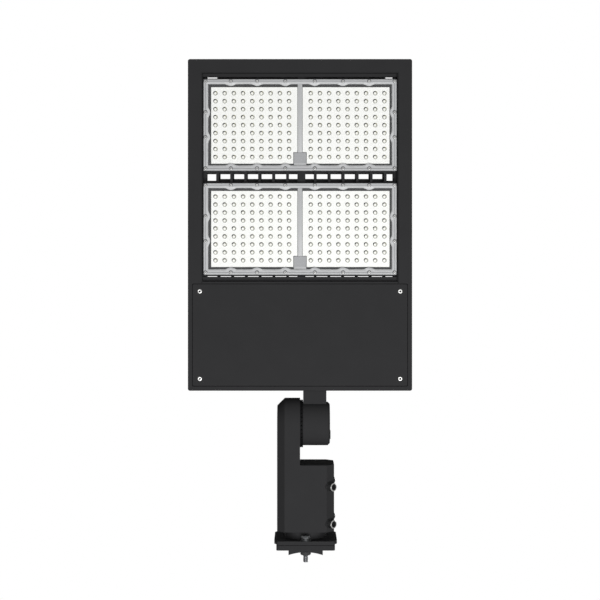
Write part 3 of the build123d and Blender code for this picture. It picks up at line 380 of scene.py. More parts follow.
def new_piece(name: str, mesh: Mesh, *finishes: Finish) -> Piece:
    """Links a mesh to the scene as a piece at the origin.

    Args:
        name: the piece's name.
        mesh: its mesh, in place.
        finishes: its finishes, in the order of their slots; none keeps the mesh's own.

    Returns:
        The piece.
    """
    piece = bpy.data.objects.new(name, mesh)
    bpy.context.scene.collection.objects.link(piece)
    for finish in finishes:
        mesh.materials.append(finish.material())
    return piece


def drop_piece(piece: Piece) -> None:
    """Removes a piece that was only needed to make another, with its mesh.

    Args:
        piece: the piece.
    """
    mesh = piece.data
    bpy.data.objects.remove(piece)
    bpy.data.meshes.remove(mesh)


def mount_piece(piece: Piece, body: str, slot: str, *nodes: str) -> None:
    """Hangs a finished piece on its body in the place of CAD nodes.

    Args:
        piece: the piece.
        body: the body that carries it.
        slot: the record's material slot; not used.
        nodes: the CAD nodes that it stands for.
    """
    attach(piece, body)
    if nodes:
        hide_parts(*nodes)
    LOG.info("%s has %d faces and rides on %s", piece.name, len(piece.data.polygons), body)


def across(x: float, z: float) -> Vector:
    """Step along the lens side's face, from millimetres to metres."""
    return Vector((x, 0, z)) * MM


def drawn_in(box: Box, left: float, right: float, lower: float, upper: float) -> Box:
    """Box inside another one, or outside it where a step is below zero.

    Args:
        box: lowest and highest corner of the other box, in metres.
        left: step in from its left side.
        right: step in from its right side.
        lower: step up from its lower side.
        upper: step down from its upper side.

    Returns:
        The new lowest and highest corner.
    """
    low, high = box
    return (low + across(left, lower), high - across(right, upper))


def finish_mesh(name: str, build: bmesh.types.BMesh, smooth_angle: float = 35.0) -> Mesh:
    """Turns a bmesh into a mesh with outward faces, smooth but for its sharp edges.

    Args:
        name: the mesh's name.
        build: the bmesh, which is freed.
        smooth_angle: edges sharper than this stay sharp, in degrees.

    Returns:
        The mesh.
    """
    bmesh.ops.recalc_face_normals(build, faces=build.faces)
    mesh = bpy.data.meshes.new(name)
    build.to_mesh(mesh)
    build.free()
    mesh.shade_smooth()
    mesh.set_sharp_from_angle(angle=math.radians(smooth_angle))
    return mesh


def band_piece(name: str, outer: Box, inner: Box, depths: Point, finish: Finish) -> Piece:
    """Flat rectangular band that faces the lens side.

    Args:
        name: the piece's name.
        outer: lowest and highest corner of its outline, in metres.
        inner: and of the hole in it.
        depths: where its front and its back lie.
        finish: its finish.

    Returns:
        The piece.
    """
    front, back = depths
    build = bmesh.new()
    loops = []
    for (least, most), y in ((outer, back), (outer, front), (inner, front), (inner, back)):
        corners = ((least.x, least.z), (most.x, least.z), (most.x, most.z), (least.x, most.z))
        loops.append([build.verts.new((x, y, z)) for x, z in corners])
    for one, two in zip(loops, loops[1:] + loops[:1]):
        for at in range(len(one)):
            build.faces.new((one[at - 1], one[at], two[at], two[at - 1]))
    return new_piece(name, finish_mesh(name, build), finish)


def block_piece(name: str, low: Vector, high: Vector, finish: Finish) -> Piece:
    """Block with softened edges between two corners.

    Args:
        name: the piece's name.
        low: its lowest corner, in metres.
        high: its highest corner.
        finish: its finish.

    Returns:
        The piece.
    """
    size = high - low
    place = Matrix.Translation((low + high) / 2) @ Matrix.Diagonal((*size, 1.0))
    bevel = BLOCK_BEVEL * min(size)
    build = bmesh.new()
    bmesh.ops.create_cube(build, size=1.0)
    bmesh.ops.transform(build, matrix=place, verts=build.verts)
    bmesh.ops.bevel(build, geom=build.edges, offset=bevel, segments=2, profile=0.5, affect="EDGES")
    return new_piece(name, finish_mesh(name, build), finish)


@dataclass(frozen=True)
class Ring:
    """One ring of a turned piece: radius, height, run round the axis, and slot of the band above."""

    radius: float
    height: float
    edge: Edge = Edge.ROUND
    slot: int = 0

    def reach(self, turn: float) -> float:
        """Radius in one direction; a hexagon's own radius is that of its corners.

        Args:
            turn: the direction, in radians.

        Returns:
            The radius.
        """
        if self.edge is Edge.ROUND:
            return self.radius
        sixth = math.pi / 3
        return self.radius * math.cos(sixth / 2) / math.cos(turn % sixth - sixth / 2)


def turned_mesh(name: str, rings: list[Ring], axis: Vector, hollow: bool = False) -> Mesh:
    """Makes a closed turned mesh about an axis through the origin.

    Args:
        name: the mesh's name.
        rings: the profile, from the bottom to the top.
        axis: the way that heights go up.
        hollow: whether the last ring joins the first, as in a washer, or both ends are closed.

    Returns:
        The mesh, in metres.
    """
    build = bmesh.new()
    turns = [math.tau * side / RING_SIDES for side in range(RING_SIDES)]
    loops = []
    for ring in rings:
        rays = [(ring.reach(turn), turn) for turn in turns]
        loops.append([
            build.verts.new((reach * math.cos(turn), reach * math.sin(turn), ring.height))
            for reach, turn in rays
        ])
    for ring, lower, upper in zip(rings, loops, loops[1:] + loops[:hollow]):
        for side in range(RING_SIDES):
            after = (side + 1) % RING_SIDES
            face = build.faces.new((lower[side], lower[after], upper[after], upper[side]))
            face.material_index = ring.slot
    if not hollow:
        build.faces.new(reversed(loops[0])).material_index = rings[0].slot
        build.faces.new(loops[-1]).material_index = rings[-1].slot
    lean = UP.rotation_difference(axis).to_matrix().to_4x4()
    bmesh.ops.transform(build, matrix=lean @ Matrix.Scale(MM, 4), verts=build.verts)
    return finish_mesh(name, build)


class GrownTree:
    """A Geometry Nodes tree with named inputs, whose result becomes a plain mesh."""

    def __init__(self, name: str, inputs: dict[str, str]) -> None:
        """Starts the tree.

        Args:
            name: the tree's name.
            inputs: for each input's name, its socket type without the words that all types start with.
        """
        self.tree = bpy.data.node_groups.new(name, "GeometryNodeTree")
        face = self.tree.interface
        face.new_socket("Geometry", in_out="OUTPUT", socket_type="NodeSocketGeometry")
        self.sockets = {
            label: face.new_socket(label, in_out="INPUT", socket_type=f"NodeSocket{kind}")
            for label, kind in inputs.items()
        }
        self.given = add_node(self.tree, "NodeGroupInput").outputs

    def close(self, geometry: Socket) -> None:
        """Ends the tree in real geometry, with the material input on the faces of the first slot.

        Args:
            geometry: what the tree has made.
        """
        real = add_node(self.tree, "GeometryNodeRealizeInstances", {"Geometry": geometry})
        slot = add_node(self.tree, "GeometryNodeInputMaterialIndex").outputs[0]
        first = add_node(
            self.tree, "FunctionNodeCompare", {2: slot, 3: 0}, data_type="INT", operation="EQUAL"
        )
        painted = add_node(self.tree, "GeometryNodeSetMaterial", {
            "Geometry": real.outputs["Geometry"],
            "Selection": first.outputs[0],
            "Material": self.given["Material"],
        })
        add_node(self.tree, "NodeGroupOutput", {"Geometry": painted.outputs["Geometry"]})

    def grow(self, name: str, values: dict[str, object], seats: Mesh | None = None) -> Mesh:
        """Runs the tree once.

        Args:
            name: name of the result.
            values: a value for each named input.
            seats: the mesh that goes in, where the tree takes one; it is used up.

        Returns:
            The result as a plain mesh.
        """
        carrier = new_piece(f"{name}_carrier", seats or bpy.data.meshes.new(f"{name}_carrier"))
        modifier = carrier.modifiers.new("grow", "NODES")
        modifier.node_group = self.tree
        for label, value in values.items():
            modifier[self.sockets[label].identifier] = value
        evaluated = carrier.evaluated_get(bpy.context.evaluated_depsgraph_get())
        mesh = bpy.data.meshes.new_from_object(evaluated)
        mesh.name = name
        carrier.modifiers.clear()
        drop_piece(carrier)
        return mesh


def optic_tree() -> GrownTree:
    """Makes the tree that sets a frustum, such as an optic's skirt, on a grid that faces the lens side.

    Returns:
        The tree.
    """
    grown = GrownTree("optic_grid", {
        "Columns": "Int",
        "Rows": "Int",
        "Width": "Float",
        "Height": "Float",
        "Middle": "Vector",
        "Sides": "Int",
        "Foot Radius": "Float",
        "Top Radius": "Float",
        "Rise": "Float",
        "Material": "Material",
    })
    tree, given = grown.tree, grown.given
    grid = add_node(tree, "GeometryNodeMeshGrid", {
        "Size X": given["Width"],
        "Size Y": given["Height"],
        "Vertices X": given["Columns"],
        "Vertices Y": given["Rows"],
    })
    frustum = add_node(tree, "GeometryNodeMeshCone", {
        "Vertices": given["Sides"],
        "Radius Top": given["Top Radius"],
        "Radius Bottom": given["Foot Radius"],
        "Depth": given["Rise"],
    })
    flat = add_node(
        tree, "GeometryNodeSetShadeSmooth", {"Geometry": frustum.outputs["Mesh"], "Shade Smooth": False}
    )
    spread = add_node(tree, "GeometryNodeInstanceOnPoints", {
        "Points": grid.outputs["Mesh"],
        "Instance": flat.outputs["Geometry"],
    })
    upright = add_node(tree, "GeometryNodeTransform", {
        "Geometry": spread.outputs["Instances"],
        "Translation": given["Middle"],
        "Rotation": (math.pi / 2, 0.0, 0.0),
    })
    grown.close(upright.outputs["Geometry"])
    return grown


def screw_tree() -> GrownTree:
    """Makes the tree that sets a screw on each point of a mesh, turned by chance.

    Returns:
        The tree.
    """
    grown = GrownTree("screw_field", {
        "Points": "Geometry",
        "Screw": "Object",
        "Most Turn": "Vector",
        "Seed": "Int",
        "Material": "Material",
    })
    tree, given = grown.tree, grown.given
    screw = add_node(tree, "GeometryNodeObjectInfo", {"Object": given["Screw"]})
    turn = add_node(
        tree,
        "FunctionNodeRandomValue",
        {0: (0.0, 0.0, 0.0), 1: given["Most Turn"], "Seed": given["Seed"]},
        data_type="FLOAT_VECTOR",
    )
    spread = add_node(tree, "GeometryNodeInstanceOnPoints", {
        "Points": given["Points"],
        "Instance": screw.outputs["Geometry"],
        "Rotation": turn.outputs[0],
    })
    grown.close(spread.outputs["Instances"])
    return grown


def thread_tree(steps: int = 20, sides: int = 3) -> GrownTree:
    """Makes the tree that winds a ridge round a bolt, as a screw thread.

    Args:
        steps: points to a turn of the thread.
        sides: sides of the ridge.

    Returns:
        The tree.
    """
    grown = GrownTree("bolt_thread", {
        "Turns": "Float",
        "Radius": "Float",
        "Length": "Float",
        "Ridge": "Float",
        "Foot": "Vector",
        "Material": "Material",
    })
    tree, given = grown.tree, grown.given
    spiral = add_node(tree, "GeometryNodeCurveSpiral", {
        "Resolution": steps,
        "Rotations": given["Turns"],
        "Start Radius": given["Radius"],
        "End Radius": given["Radius"],
        "Height": given["Length"],
    })
    ridge = add_node(
        tree, "GeometryNodeCurvePrimitiveCircle", {"Resolution": sides, "Radius": given["Ridge"]}
    )
    wound = add_node(tree, "GeometryNodeCurveToMesh", {
        "Curve": spiral.outputs["Curve"],
        "Profile Curve": ridge.outputs["Curve"],
        "Fill Caps": True,
    })
    placed = add_node(tree, "GeometryNodeTransform", {
        "Geometry": wound.outputs["Mesh"],
        "Translation": given["Foot"],
    })
    grown.close(placed.outputs["Geometry"])
    return grown


@dataclass(frozen=True)
class ScrewKind:
    """A pan-head screw with a hexagon socket painted near black for its shade, head towards the lens side.
    """

    name: str
    finish: Finish
    head_radius: float
    head_height: float
    shank_radius: float
    shank_length: float
    socket_radius: float
    edge_share: float = 0.35  # rounded edge, as a share of the head's height
    round_share: float = 0.3  # middle of that edge, as a share of it
    mouth_share: float = 1.12  # socket's mouth, as a share of its radius
    mouth_drop: float = 0.1  # mouth's height, as a share of the rounded edge
    floor_share: float = 0.4  # socket's floor, as a share of the head's height

    def rings(self) -> list[Ring]:
        """Profile of the screw.

        Returns:
            The rings, from the shank's tip to the socket's floor.
        """
        crown = self.head_height
        edge = self.edge_share * crown
        middle = self.round_share * edge
        return [
            Ring(self.shank_radius, -self.shank_length),
            Ring(self.shank_radius, 0.0),
            Ring(self.head_radius, 0.0),
            Ring(self.head_radius, crown - edge),
            Ring(self.head_radius - middle, crown - middle),
            Ring(self.head_radius - edge, crown),
            Ring(self.socket_radius * self.mouth_share, crown, Edge.HEX),
            # The socket's walls and floor take the second slot, painted shade.
            Ring(self.socket_radius, crown - self.mouth_drop * edge, Edge.HEX, slot=1),
            Ring(self.socket_radius, self.floor_share * crown, Edge.HEX, slot=1),
        ]

    def source(self) -> Piece:
        """Screw that a tree spreads."""
        # The second finish paints the shade inside the socket.
        return new_piece(
            f"{self.name}_source", turned_mesh(self.name, self.rings(), LENS_SIDE), self.finish, BLACK_OXIDE_AND_SOCKET_SHADE
        )


@dataclass(frozen=True)
class RecessKind:
    """The shallow recess that a small screw sits in, drawn as a dark disc behind its head: painted shade.
    """

    name: str
    finish: Finish
    radius: float
    height: float = 0.12

    def source(self) -> Piece:
        """Recess that a tree spreads."""
        rings = [Ring(self.radius, 0.0), Ring(self.radius, self.height)]
        return new_piece(f"{self.name}_source", turned_mesh(self.name, rings, LENS_SIDE), self.finish)


def spread_piece(
    name: str, source: Piece, points: list[Vector], grown: GrownTree, turn: float = 0.0
) -> Piece:
    """Spreads a screw, a recess or a bolt over points.

    Args:
        name: name of the new piece.
        source: what is spread; it is used up.
        points: the seats, in metres.
        grown: the tree that spreads it.
        turn: how far it may turn about the axis of the lens side, in radians.

    Returns:
        All of them as one piece.
    """
    seats = bpy.data.meshes.new(f"{name}_seats")
    seats.from_pydata(points, [], [])
    mesh = grown.grow(name, {
        "Screw": source,
        "Most Turn": (0.0, turn, 0.0),
        "Seed": SEED,
        "Material": source.data.materials[0],
    }, seats)
    drop_piece(source)
    return new_piece(name, mesh)


class Tone(Enum):
    """Tones of the lens border's facets, by slot: grey copies of one polycarbonate that paint its light and
    shade.
    """

    FACE = 0
    SLOPE = 1
    GROOVE = 2
    GLINT = 3


@dataclass(frozen=True)
class Facet:
    """Start of a facet in the border's section: inset, depth, share of the scallops, and tone."""

    inset: float
    depth: float
    swelling: float = 0.0
    tone: Tone = Tone.FACE


@dataclass(frozen=True)
class OpticStage:
    """One of the bodies of an optic: its finish, its place from the optic's middle, and its sizes."""

    label: str
    finish: Finish
    shift: float
    lift: float
    foot_radius: float
    top_radius: float
    rise: float


@dataclass
class LensModule:
    """A lens module: faceted border, clear sheet, rib, optics, screws, boards and connector."""

    place: Place
    corner: float = 2.0
    least_corner: float = 0.2
    seat_depth: float = 7.0
    border_width: float = 6.8
    border_angle: float = 18.0  # edges of the border sharper than this stay sharp, in degrees
    lower_rise: float = 1.1  # the border is wider by this at its lower side
    bevel: float = 0.7
    groove: Point = (2.5, 3.1)  # insets of its two sides
    groove_depth: float = 0.3
    slope: Point = (4.7, 5.7)  # insets where the inner slope starts and steepens
    slope_swelling: Point = (0.3, 0.8)  # share of the scallops at these
    slope_depth: float = 0.6  # depth where it steepens
    scallop: float = 2.8  # how far the border swells inward at a screw
    scallop_reach: float = 9.5
    scallop_flank: Point = (0.25, 0.7)  # swelling where a flank with its painted glint starts and ends
    sheet_inset: float = 6.0
    sheet_depth: float = 1.8
    sheet_thickness: float = 2.0
    sheet_lap: float = 0.1  # border's inner slope behind the sheet's front
    sheet_air: float = 0.2  # sheet to the rib behind it
    rib_width: float = 6.6
    foot_inset: float = 0.4  # rib's foot inside the connector's sides
    foot_rise: float = 0.3  # and in front of it
    foot_height: float = 3.0
    # dark band of painted shade over the boards' outer edges: how far it covers each side, and its
    # thickness
    board_shade_covers: Covers = (1.3, 0.3, 0.4, 0.55)
    board_shade_thickness: float = 0.4
    edge_reach: Point = (1.2, 0.2)  # band of painted shade beyond the lens, at its sides and at its ends
    edge_covers: Covers = (0.4, 0.05, 0.05, 0.05)
    edge_depths: Point = (-0.05, 2.0)  # its front and back behind the lens's face
    screw_inset: float = 3.1
    screw_shares: tuple[float, ...] = (0.156, 0.455, 0.732, 1.0)
    screw_side_share: float = 0.286
    screw: ScrewKind = ScrewKind(
        "lens_screw", PASSIVATED, head_radius=2.0, head_height=1.5, shank_radius=1.5, shank_length=8.0,
        socket_radius=0.8,
    )
    recess: RecessKind = RecessKind("lens_screw_recess", LENS_RECESS_SHADE, radius=2.8)
    recess_rise: float = 0.5  # the dark disc shows this far above its screw, as a crescent of painted shade
    chip_size: float = 3.0
    optic_columns: int = 9
    optic_rows: int = 9
    optic_sides: int = 16
    optic_drop: float = 0.8  # optic's middle below its chip's, to throw the light outward
    optic_stages: tuple[OpticStage, ...] = (
        OpticStage("skirts", OPTIC_SKIRT, 0.0, 0.0, foot_radius=3.25, top_radius=3.15, rise=0.5),
        OpticStage("shoulders", OPTIC_SHOULDER_SHADE, -0.85, 0.6, foot_radius=2.4, top_radius=2.3, rise=0.8),
        OpticStage("crowns", OPTIC_CROWN, -0.25, -0.35, foot_radius=2.1, top_radius=1.85, rise=1.2),
    )

    def __post_init__(self) -> None:
        """Reads the lens's place from the frame."""
        low, high = self.box("lens")
        self.middle = (low + high) / 2
        self.face = low.y
        self.half_width = (high.x - low.x) / 2 / MM
        self.half_height = (high.z - low.z) / 2 / MM

    def named(self, part: str) -> str:
        """Full name of one of the module's parts."""
        return f"{self.place.value}_{part}"

    def box(self, part: str) -> Box:
        """Lowest and highest corner of one of the module's CAD nodes, in metres."""
        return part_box(self.named(part))

    def spot(self, x: float, z: float, depth: float = 0.0) -> Vector:
        """Point from the lens's middle and behind its face, in metres."""
        return Vector((self.middle.x + x * MM, self.face + depth * MM, self.middle.z + z * MM))

    def profile(self) -> list[Facet]:
        """Section of the border.

        Returns:
            Its facets, from the outer wall over the face to the inner wall.
        """
        groove_start, groove_end = self.groove
        slope_start, slope_knee = self.slope
        start_swelling, knee_swelling = self.slope_swelling
        return [
            Facet(0.0, self.seat_depth),
            Facet(0.0, self.bevel, tone=Tone.SLOPE),
            Facet(self.bevel, 0.0),
            Facet(groove_start, 0.0, tone=Tone.GROOVE),
            Facet((groove_start + groove_end) / 2, self.groove_depth, tone=Tone.GROOVE),
            Facet(groove_end, 0.0),
            Facet(slope_start, 0.0, start_swelling, Tone.SLOPE),
            Facet(slope_knee, self.slope_depth, knee_swelling, Tone.SLOPE),
            Facet(self.border_width, self.sheet_depth + self.sheet_lap, 1.0),
            Facet(self.border_width, self.seat_depth),
        ]

    def swell(self, along: float, upright: bool) -> float:
        """How far the border swells inward at a place along one side.

        Args:
            along: place from the side's middle.
            upright: whether the side is an upright one.

        Returns:
            The swelling, 0 to 1.
        """
        edge = (self.half_height if upright else self.half_width) - self.screw_inset
        shares = (self.screw_side_share,) if upright else self.screw_shares[:-1]
        gap = min(abs(abs(along) - share * edge) for share in shares) / self.scallop_reach
        return math.cos(math.pi / 2 * gap) ** 2 if gap < 1 else 0.0

    def outline(self, inset: float, swelling: float, steps: int = 150, arc_steps: int = 4) -> list[Point]:
        """Outline of the lens, moved inward, as points from the lens's middle.

        Args:
            inset: how far it is moved in.
            swelling: how far the scallops go beyond that.
            steps: points along a long side; a short side has half as many.
            arc_steps: points round a corner.

        Returns:
            The points, anticlockwise from the lower right corner.
        """
        radius = max(self.corner - inset, self.least_corner)
        reach_x = self.half_width - inset
        reach_z = self.half_height - inset
        points: list[Point] = []
        for quarter, (side_x, side_z) in enumerate(((1, -1), (1, 1), (-1, 1), (-1, -1))):
            middle = (side_x * (reach_x - radius), side_z * (reach_z - radius))
            for step in range(arc_steps + 1):
                turn = math.pi / 2 * (quarter - 1 + step / arc_steps)
                points.append((middle[0] + radius * math.cos(turn), middle[1] + radius * math.sin(turn)))
            upright = quarter % 2 == 0
            count = steps // 2 if upright else steps
            for step in range(1, count):
                share = 1 - 2 * step / count
                if upright:
                    along = -side_x * share * (reach_z - radius)
                    points.append((side_x * (reach_x - swelling * self.swell(along, upright)), along))
                else:
                    along = side_z * share * (reach_x - radius)
                    points.append((along, side_z * (reach_z - swelling * self.swell(along, upright))))
        rise = self.lower_rise * inset / self.border_width
        return [(x, z + rise * (reach_z - z) / (2 * reach_z)) for x, z in points]

    def glints(self, x: float, z: float) -> bool:
        """Whether a place on the border's inner edge is on the flank of a scallop.

        Args:
            x: place from the lens's middle.
            z: and its height.

        Returns:
            True on a flank.
        """
        upright = self.half_width - abs(x) < self.half_height - abs(z)
        start, end = self.scallop_flank
        return start < self.swell(z if upright else x, upright) < end

    def border(self) -> Piece:
        """Closed band round the lens, with facets and a scallop at each screw.

        Returns:
            The piece.
        """
        build = bmesh.new()
        facets = self.profile()
        loops = []
        for facet in facets:
            outline = self.outline(facet.inset, facet.swelling * self.scallop)
            loops.append([build.verts.new(self.spot(x, z, facet.depth)) for x, z in outline])
        flanks = [self.glints(x, z) for x, z in self.outline(self.border_width, 0.0)]
        for facet, outer, inner in zip(facets, loops, loops[1:] + loops[:1]):
            for at in range(len(outer)):
                after = (at + 1) % len(outer)
                face = build.faces.new((outer[at], outer[after], inner[after], inner[at]))
                # Faces on the flanks of the scallops get the painted glint.
                tone = Tone.GLINT if facet.swelling and flanks[at] else facet.tone
                face.material_index = tone.value
        name = self.named("lens_border")
        mesh = finish_mesh(name, build, self.border_angle)
        return new_piece(name, mesh, LENS_BORDER, LENS_SLOPE, LENS_GROOVE, LENS_PAINTED_GLINT)

    def lip(self) -> Piece:
        """Dark band in moulded silicone over the outer edges of both boards: painted shade along the
        border's inner edge.

        Returns:
            The piece.
        """
        low = self.box(f"led_board_{Hand.LEFT.value}")[0]
        high = self.box(f"led_board_{Hand.RIGHT.value}")[1]
        outer = drawn_in(self.box("lens"), *[self.border_width] * 4)
        inner = drawn_in((low, high), *self.board_shade_covers)
        front = low.y - self.board_shade_thickness * MM
        return band_piece(self.named("seal_lip"), outer, inner, (front, low.y), SILICONE)

    def edge_seal(self) -> Piece:
        """Near-black band between the lens's edge and the opening: painted shade in that gap.

        Returns:
            The piece.
        """
        lens = self.box("lens")
        beside, beyond = self.edge_reach
        outer = drawn_in(lens, -beside, -beside, -beyond, -beyond)
        inner = drawn_in(lens, *self.edge_covers)
        front, back = (self.face + depth * MM for depth in self.edge_depths)
        return band_piece(self.named("edge_seal"), outer, inner, (front, back), SEAM_SHADE)

    def sheet(self) -> Piece:
        """Clear sheet inside the border.

        Returns:
            The piece.
        """
        half_x = self.half_width - self.sheet_inset
        half_z = self.half_height - self.sheet_inset
        low = self.spot(-half_x, -half_z, self.sheet_depth)
        high = self.spot(half_x, half_z, self.sheet_depth + self.sheet_thickness)
        return block_piece(self.named("lens_sheet"), low, high, CLEAR_SHEET)

    def rib(self) -> Piece:
        """Rib between the boards, from the connector to the upper border.

        Returns:
            The piece.
        """
        half = self.rib_width / 2
        low = self.spot(-half, 0.0, self.sheet_depth + self.sheet_thickness + self.sheet_air)
        low.z = self.box("lead_connector")[1].z
        high = self.spot(half, self.half_height - self.border_width, self.seat_depth)
        return block_piece(self.named("lens_rib"), low, high, LENS_RIB)

    def foot(self) -> Piece:
        """Foot of the rib below the connector, where the lens meets its border.

        Returns:
            The piece.
        """
        low, high = self.box("lead_connector")
        border = self.spot(0.0, self.border_width - self.half_height).z
        inset = self.foot_inset * MM
        rise = self.foot_rise * MM
        least = Vector((low.x + inset, low.y - rise, border - inset))
        most = Vector((high.x - inset, low.y + rise, low.z + self.foot_height * MM))
        return block_piece(self.named("lens_rib_foot"), least, most, LENS_RIB)

    def optics(self, hand: Hand, grown: GrownTree) -> list[Piece]:
        """Optics over one board: on each a skirt, with a shoulder of painted shade and a crown set off its
        middle.

        Args:
            hand: which board.
            grown: the tree that sets them on their grid.

        Returns:
            The skirts, the shoulders and the crowns.
        """
        low, high = self.box(f"led_chips_{hand.value}")
        middle = (low + high) / 2
        middle.y = self.box(f"led_board_{hand.value}")[0].y
        pieces = []
        for stage in self.optic_stages:
            name = self.named(f"lens_optic_{stage.label}_{hand.value}")
            mesh = grown.grow(name, {
                "Columns": self.optic_columns,
                "Rows": self.optic_rows,
                "Width": high.x - low.x - self.chip_size * MM,
                "Height": high.z - low.z - self.chip_size * MM,
                "Middle": middle + across(stage.shift, stage.lift - self.optic_drop),
                "Sides": self.optic_sides,
                "Foot Radius": stage.foot_radius * MM,
                "Top Radius": stage.top_radius * MM,
                "Rise": stage.rise * MM,
                "Material": stage.finish.material(),
            })
            pieces.append(new_piece(name, mesh))
        return pieces

    def screws(self, grown: GrownTree) -> list[Piece]:
        """Screws round the border, with dark discs of painted shade for their recesses.

        Args:
            grown: the tree that spreads them.

        Returns:
            The screws and the discs of painted shade.
        """
        edge_x = self.half_width - self.screw_inset
        edge_z = self.half_height - self.screw_inset
        quarters = [(i, j) for i in (-1, 1) for j in (-1, 1)]
        places = [(i * share * edge_x, j * edge_z) for share in self.screw_shares for i, j in quarters]
        places += [(i * edge_x, j * self.screw_side_share * edge_z) for i, j in quarters]
        seats = [self.spot(x, z) for x, z in places]
        above = [self.spot(x, z + self.recess_rise) for x, z in places]
        return [
            spread_piece(self.named("border_screws"), self.screw.source(), seats, grown, math.tau),
            spread_piece(self.named("border_screw_recesses"), self.recess.source(), above, grown),
        ]

    def build(self, optic: GrownTree, screw: GrownTree) -> None:
        """Builds and dresses the whole module.

        Args:
            optic: tree for the optics.
            screw: tree for the screws.
        """
        lens = self.named("lens")
        for piece in (self.border(), self.sheet(), self.rib(), self.foot()):
            mount_piece(piece, "head", "clear_lens", lens)
        # Bands of painted shade over the boards' edges and in the gap round the lens.
        for piece in (self.lip(), self.edge_seal()):
            mount_piece(piece, "head", "silicone")
        for hand in Hand:
            for piece in self.optics(hand, optic):
                mount_piece(piece, "head", "clear_lens", lens)
            dress(SOLDER_MASK, self.named(f"led_board_{hand.value}"))
            dress(PHOSPHOR, self.named(f"led_chips_{hand.value}"))
        screws, recesses = self.screws(screw)
        mount_piece(screws, "head", "stainless", self.named("lens_screws"))
        mount_piece(recesses, "head", "clear_lens", lens)
        dress(POTTING, self.named("lead_connector"))
        dress(SILICONE, self.named("lens_gasket"))
        dress(LEAD_JACKET, self.named("module_lead"))


@dataclass
class Housing:
    """The cast housing with its driver bay, cover and what the bay holds."""

    screw_inset: float = 10.2
    screw: ScrewKind = ScrewKind(
        "cover_screw", STAINLESS, head_radius=3.1, head_height=2.4, shank_radius=2.0, shank_length=14.0,
        socket_radius=1.75,
    )
    cover_gap: float = 0.8
    gap_shade_play: float = 0.1  # band of painted shade to either side of the cover's gap
    gap_shade_depths: Point = (0.5, 2.0)  # its front and back behind the cover's face
    strip_height: float = 3.6  # casting between the cover and the lens opening
    opening_play: float = 1.3  # lens to the opening's sides
    sill_height: float = 2.0
    sill_edge: float = 0.4

    def cover_screws(self, grown: GrownTree) -> Piece:
        """Screws in the corners of the driver cover.

        Args:
            grown: the tree that spreads them.

        Returns:
            All four as one piece.
        """
        low, high = drawn_in(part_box("driver_cover"), *[self.screw_inset] * 4)
        points = [Vector((x, low.y, z)) for x in (low.x, high.x) for z in (low.z, high.z)]
        return spread_piece("cover_corner_screws", self.screw.source(), points, grown, math.tau)

    def cover_shade_strip(self) -> Piece:
        """Near-black band in the gap round the cover: painted shade in that gap.

        Returns:
            The piece.
        """
        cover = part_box("driver_cover")
        outer = drawn_in(cover, *[self.gap_shade_play - self.cover_gap] * 4)
        inner = drawn_in(cover, *[-self.gap_shade_play] * 4)
        front, back = (cover[0].y + depth * MM for depth in self.gap_shade_depths)
        return band_piece("cover_gasket_lip", outer, inner, (front, back), SEAM_SHADE)

    def sill(self) -> Piece:
        """Bead of the casting along the opening's lower edge.

        Returns:
            The piece.
        """
        low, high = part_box("lower_lens")
        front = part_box("housing")[0].y
        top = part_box("driver_cover")[1].z + self.strip_height * MM
        height, edge = self.sill_height, self.sill_edge
        section = ((0, -height), (0, -edge), (edge, 0), (height, 0), (height, -height))
        build = bmesh.new()
        ends = [
            [build.verts.new((x, front + y * MM, top + z * MM)) for y, z in section]
            for x in (low.x - self.opening_play * MM, high.x + self.opening_play * MM)
        ]
        for end in ends:
            build.faces.new(end)
        for at in range(len(section)):
            build.faces.new((ends[0][at - 1], ends[0][at], ends[1][at], ends[1][at - 1]))
        return new_piece("opening_sill", finish_mesh("opening_sill", build), POWDER_COAT)

    def build(self, screw: GrownTree) -> None:
        """Dresses the housing and builds its screws, the painted shade in the cover's gap and its sill.

        Args:
            screw: tree for the screws.
        """
        dress(POWDER_COAT, "housing", "driver_cover")
        dress(SILICONE, "driver_cover_gasket")
        dress(DRIVER_CASE, "led_driver")
        dress(ZINC, "led_driver_screws")
        dress(NYLON, "surge_protector", "supply_terminal", "breather_vent", "supply_gland")
        dress(POTTING, "lead_junction")
        mount_piece(self.cover_screws(screw), "head", "stainless", "driver_cover_screws")
        mount_piece(self.cover_shade_strip(), "head", "silicone")
        mount_piece(self.sill(), "head", "powder_coat")


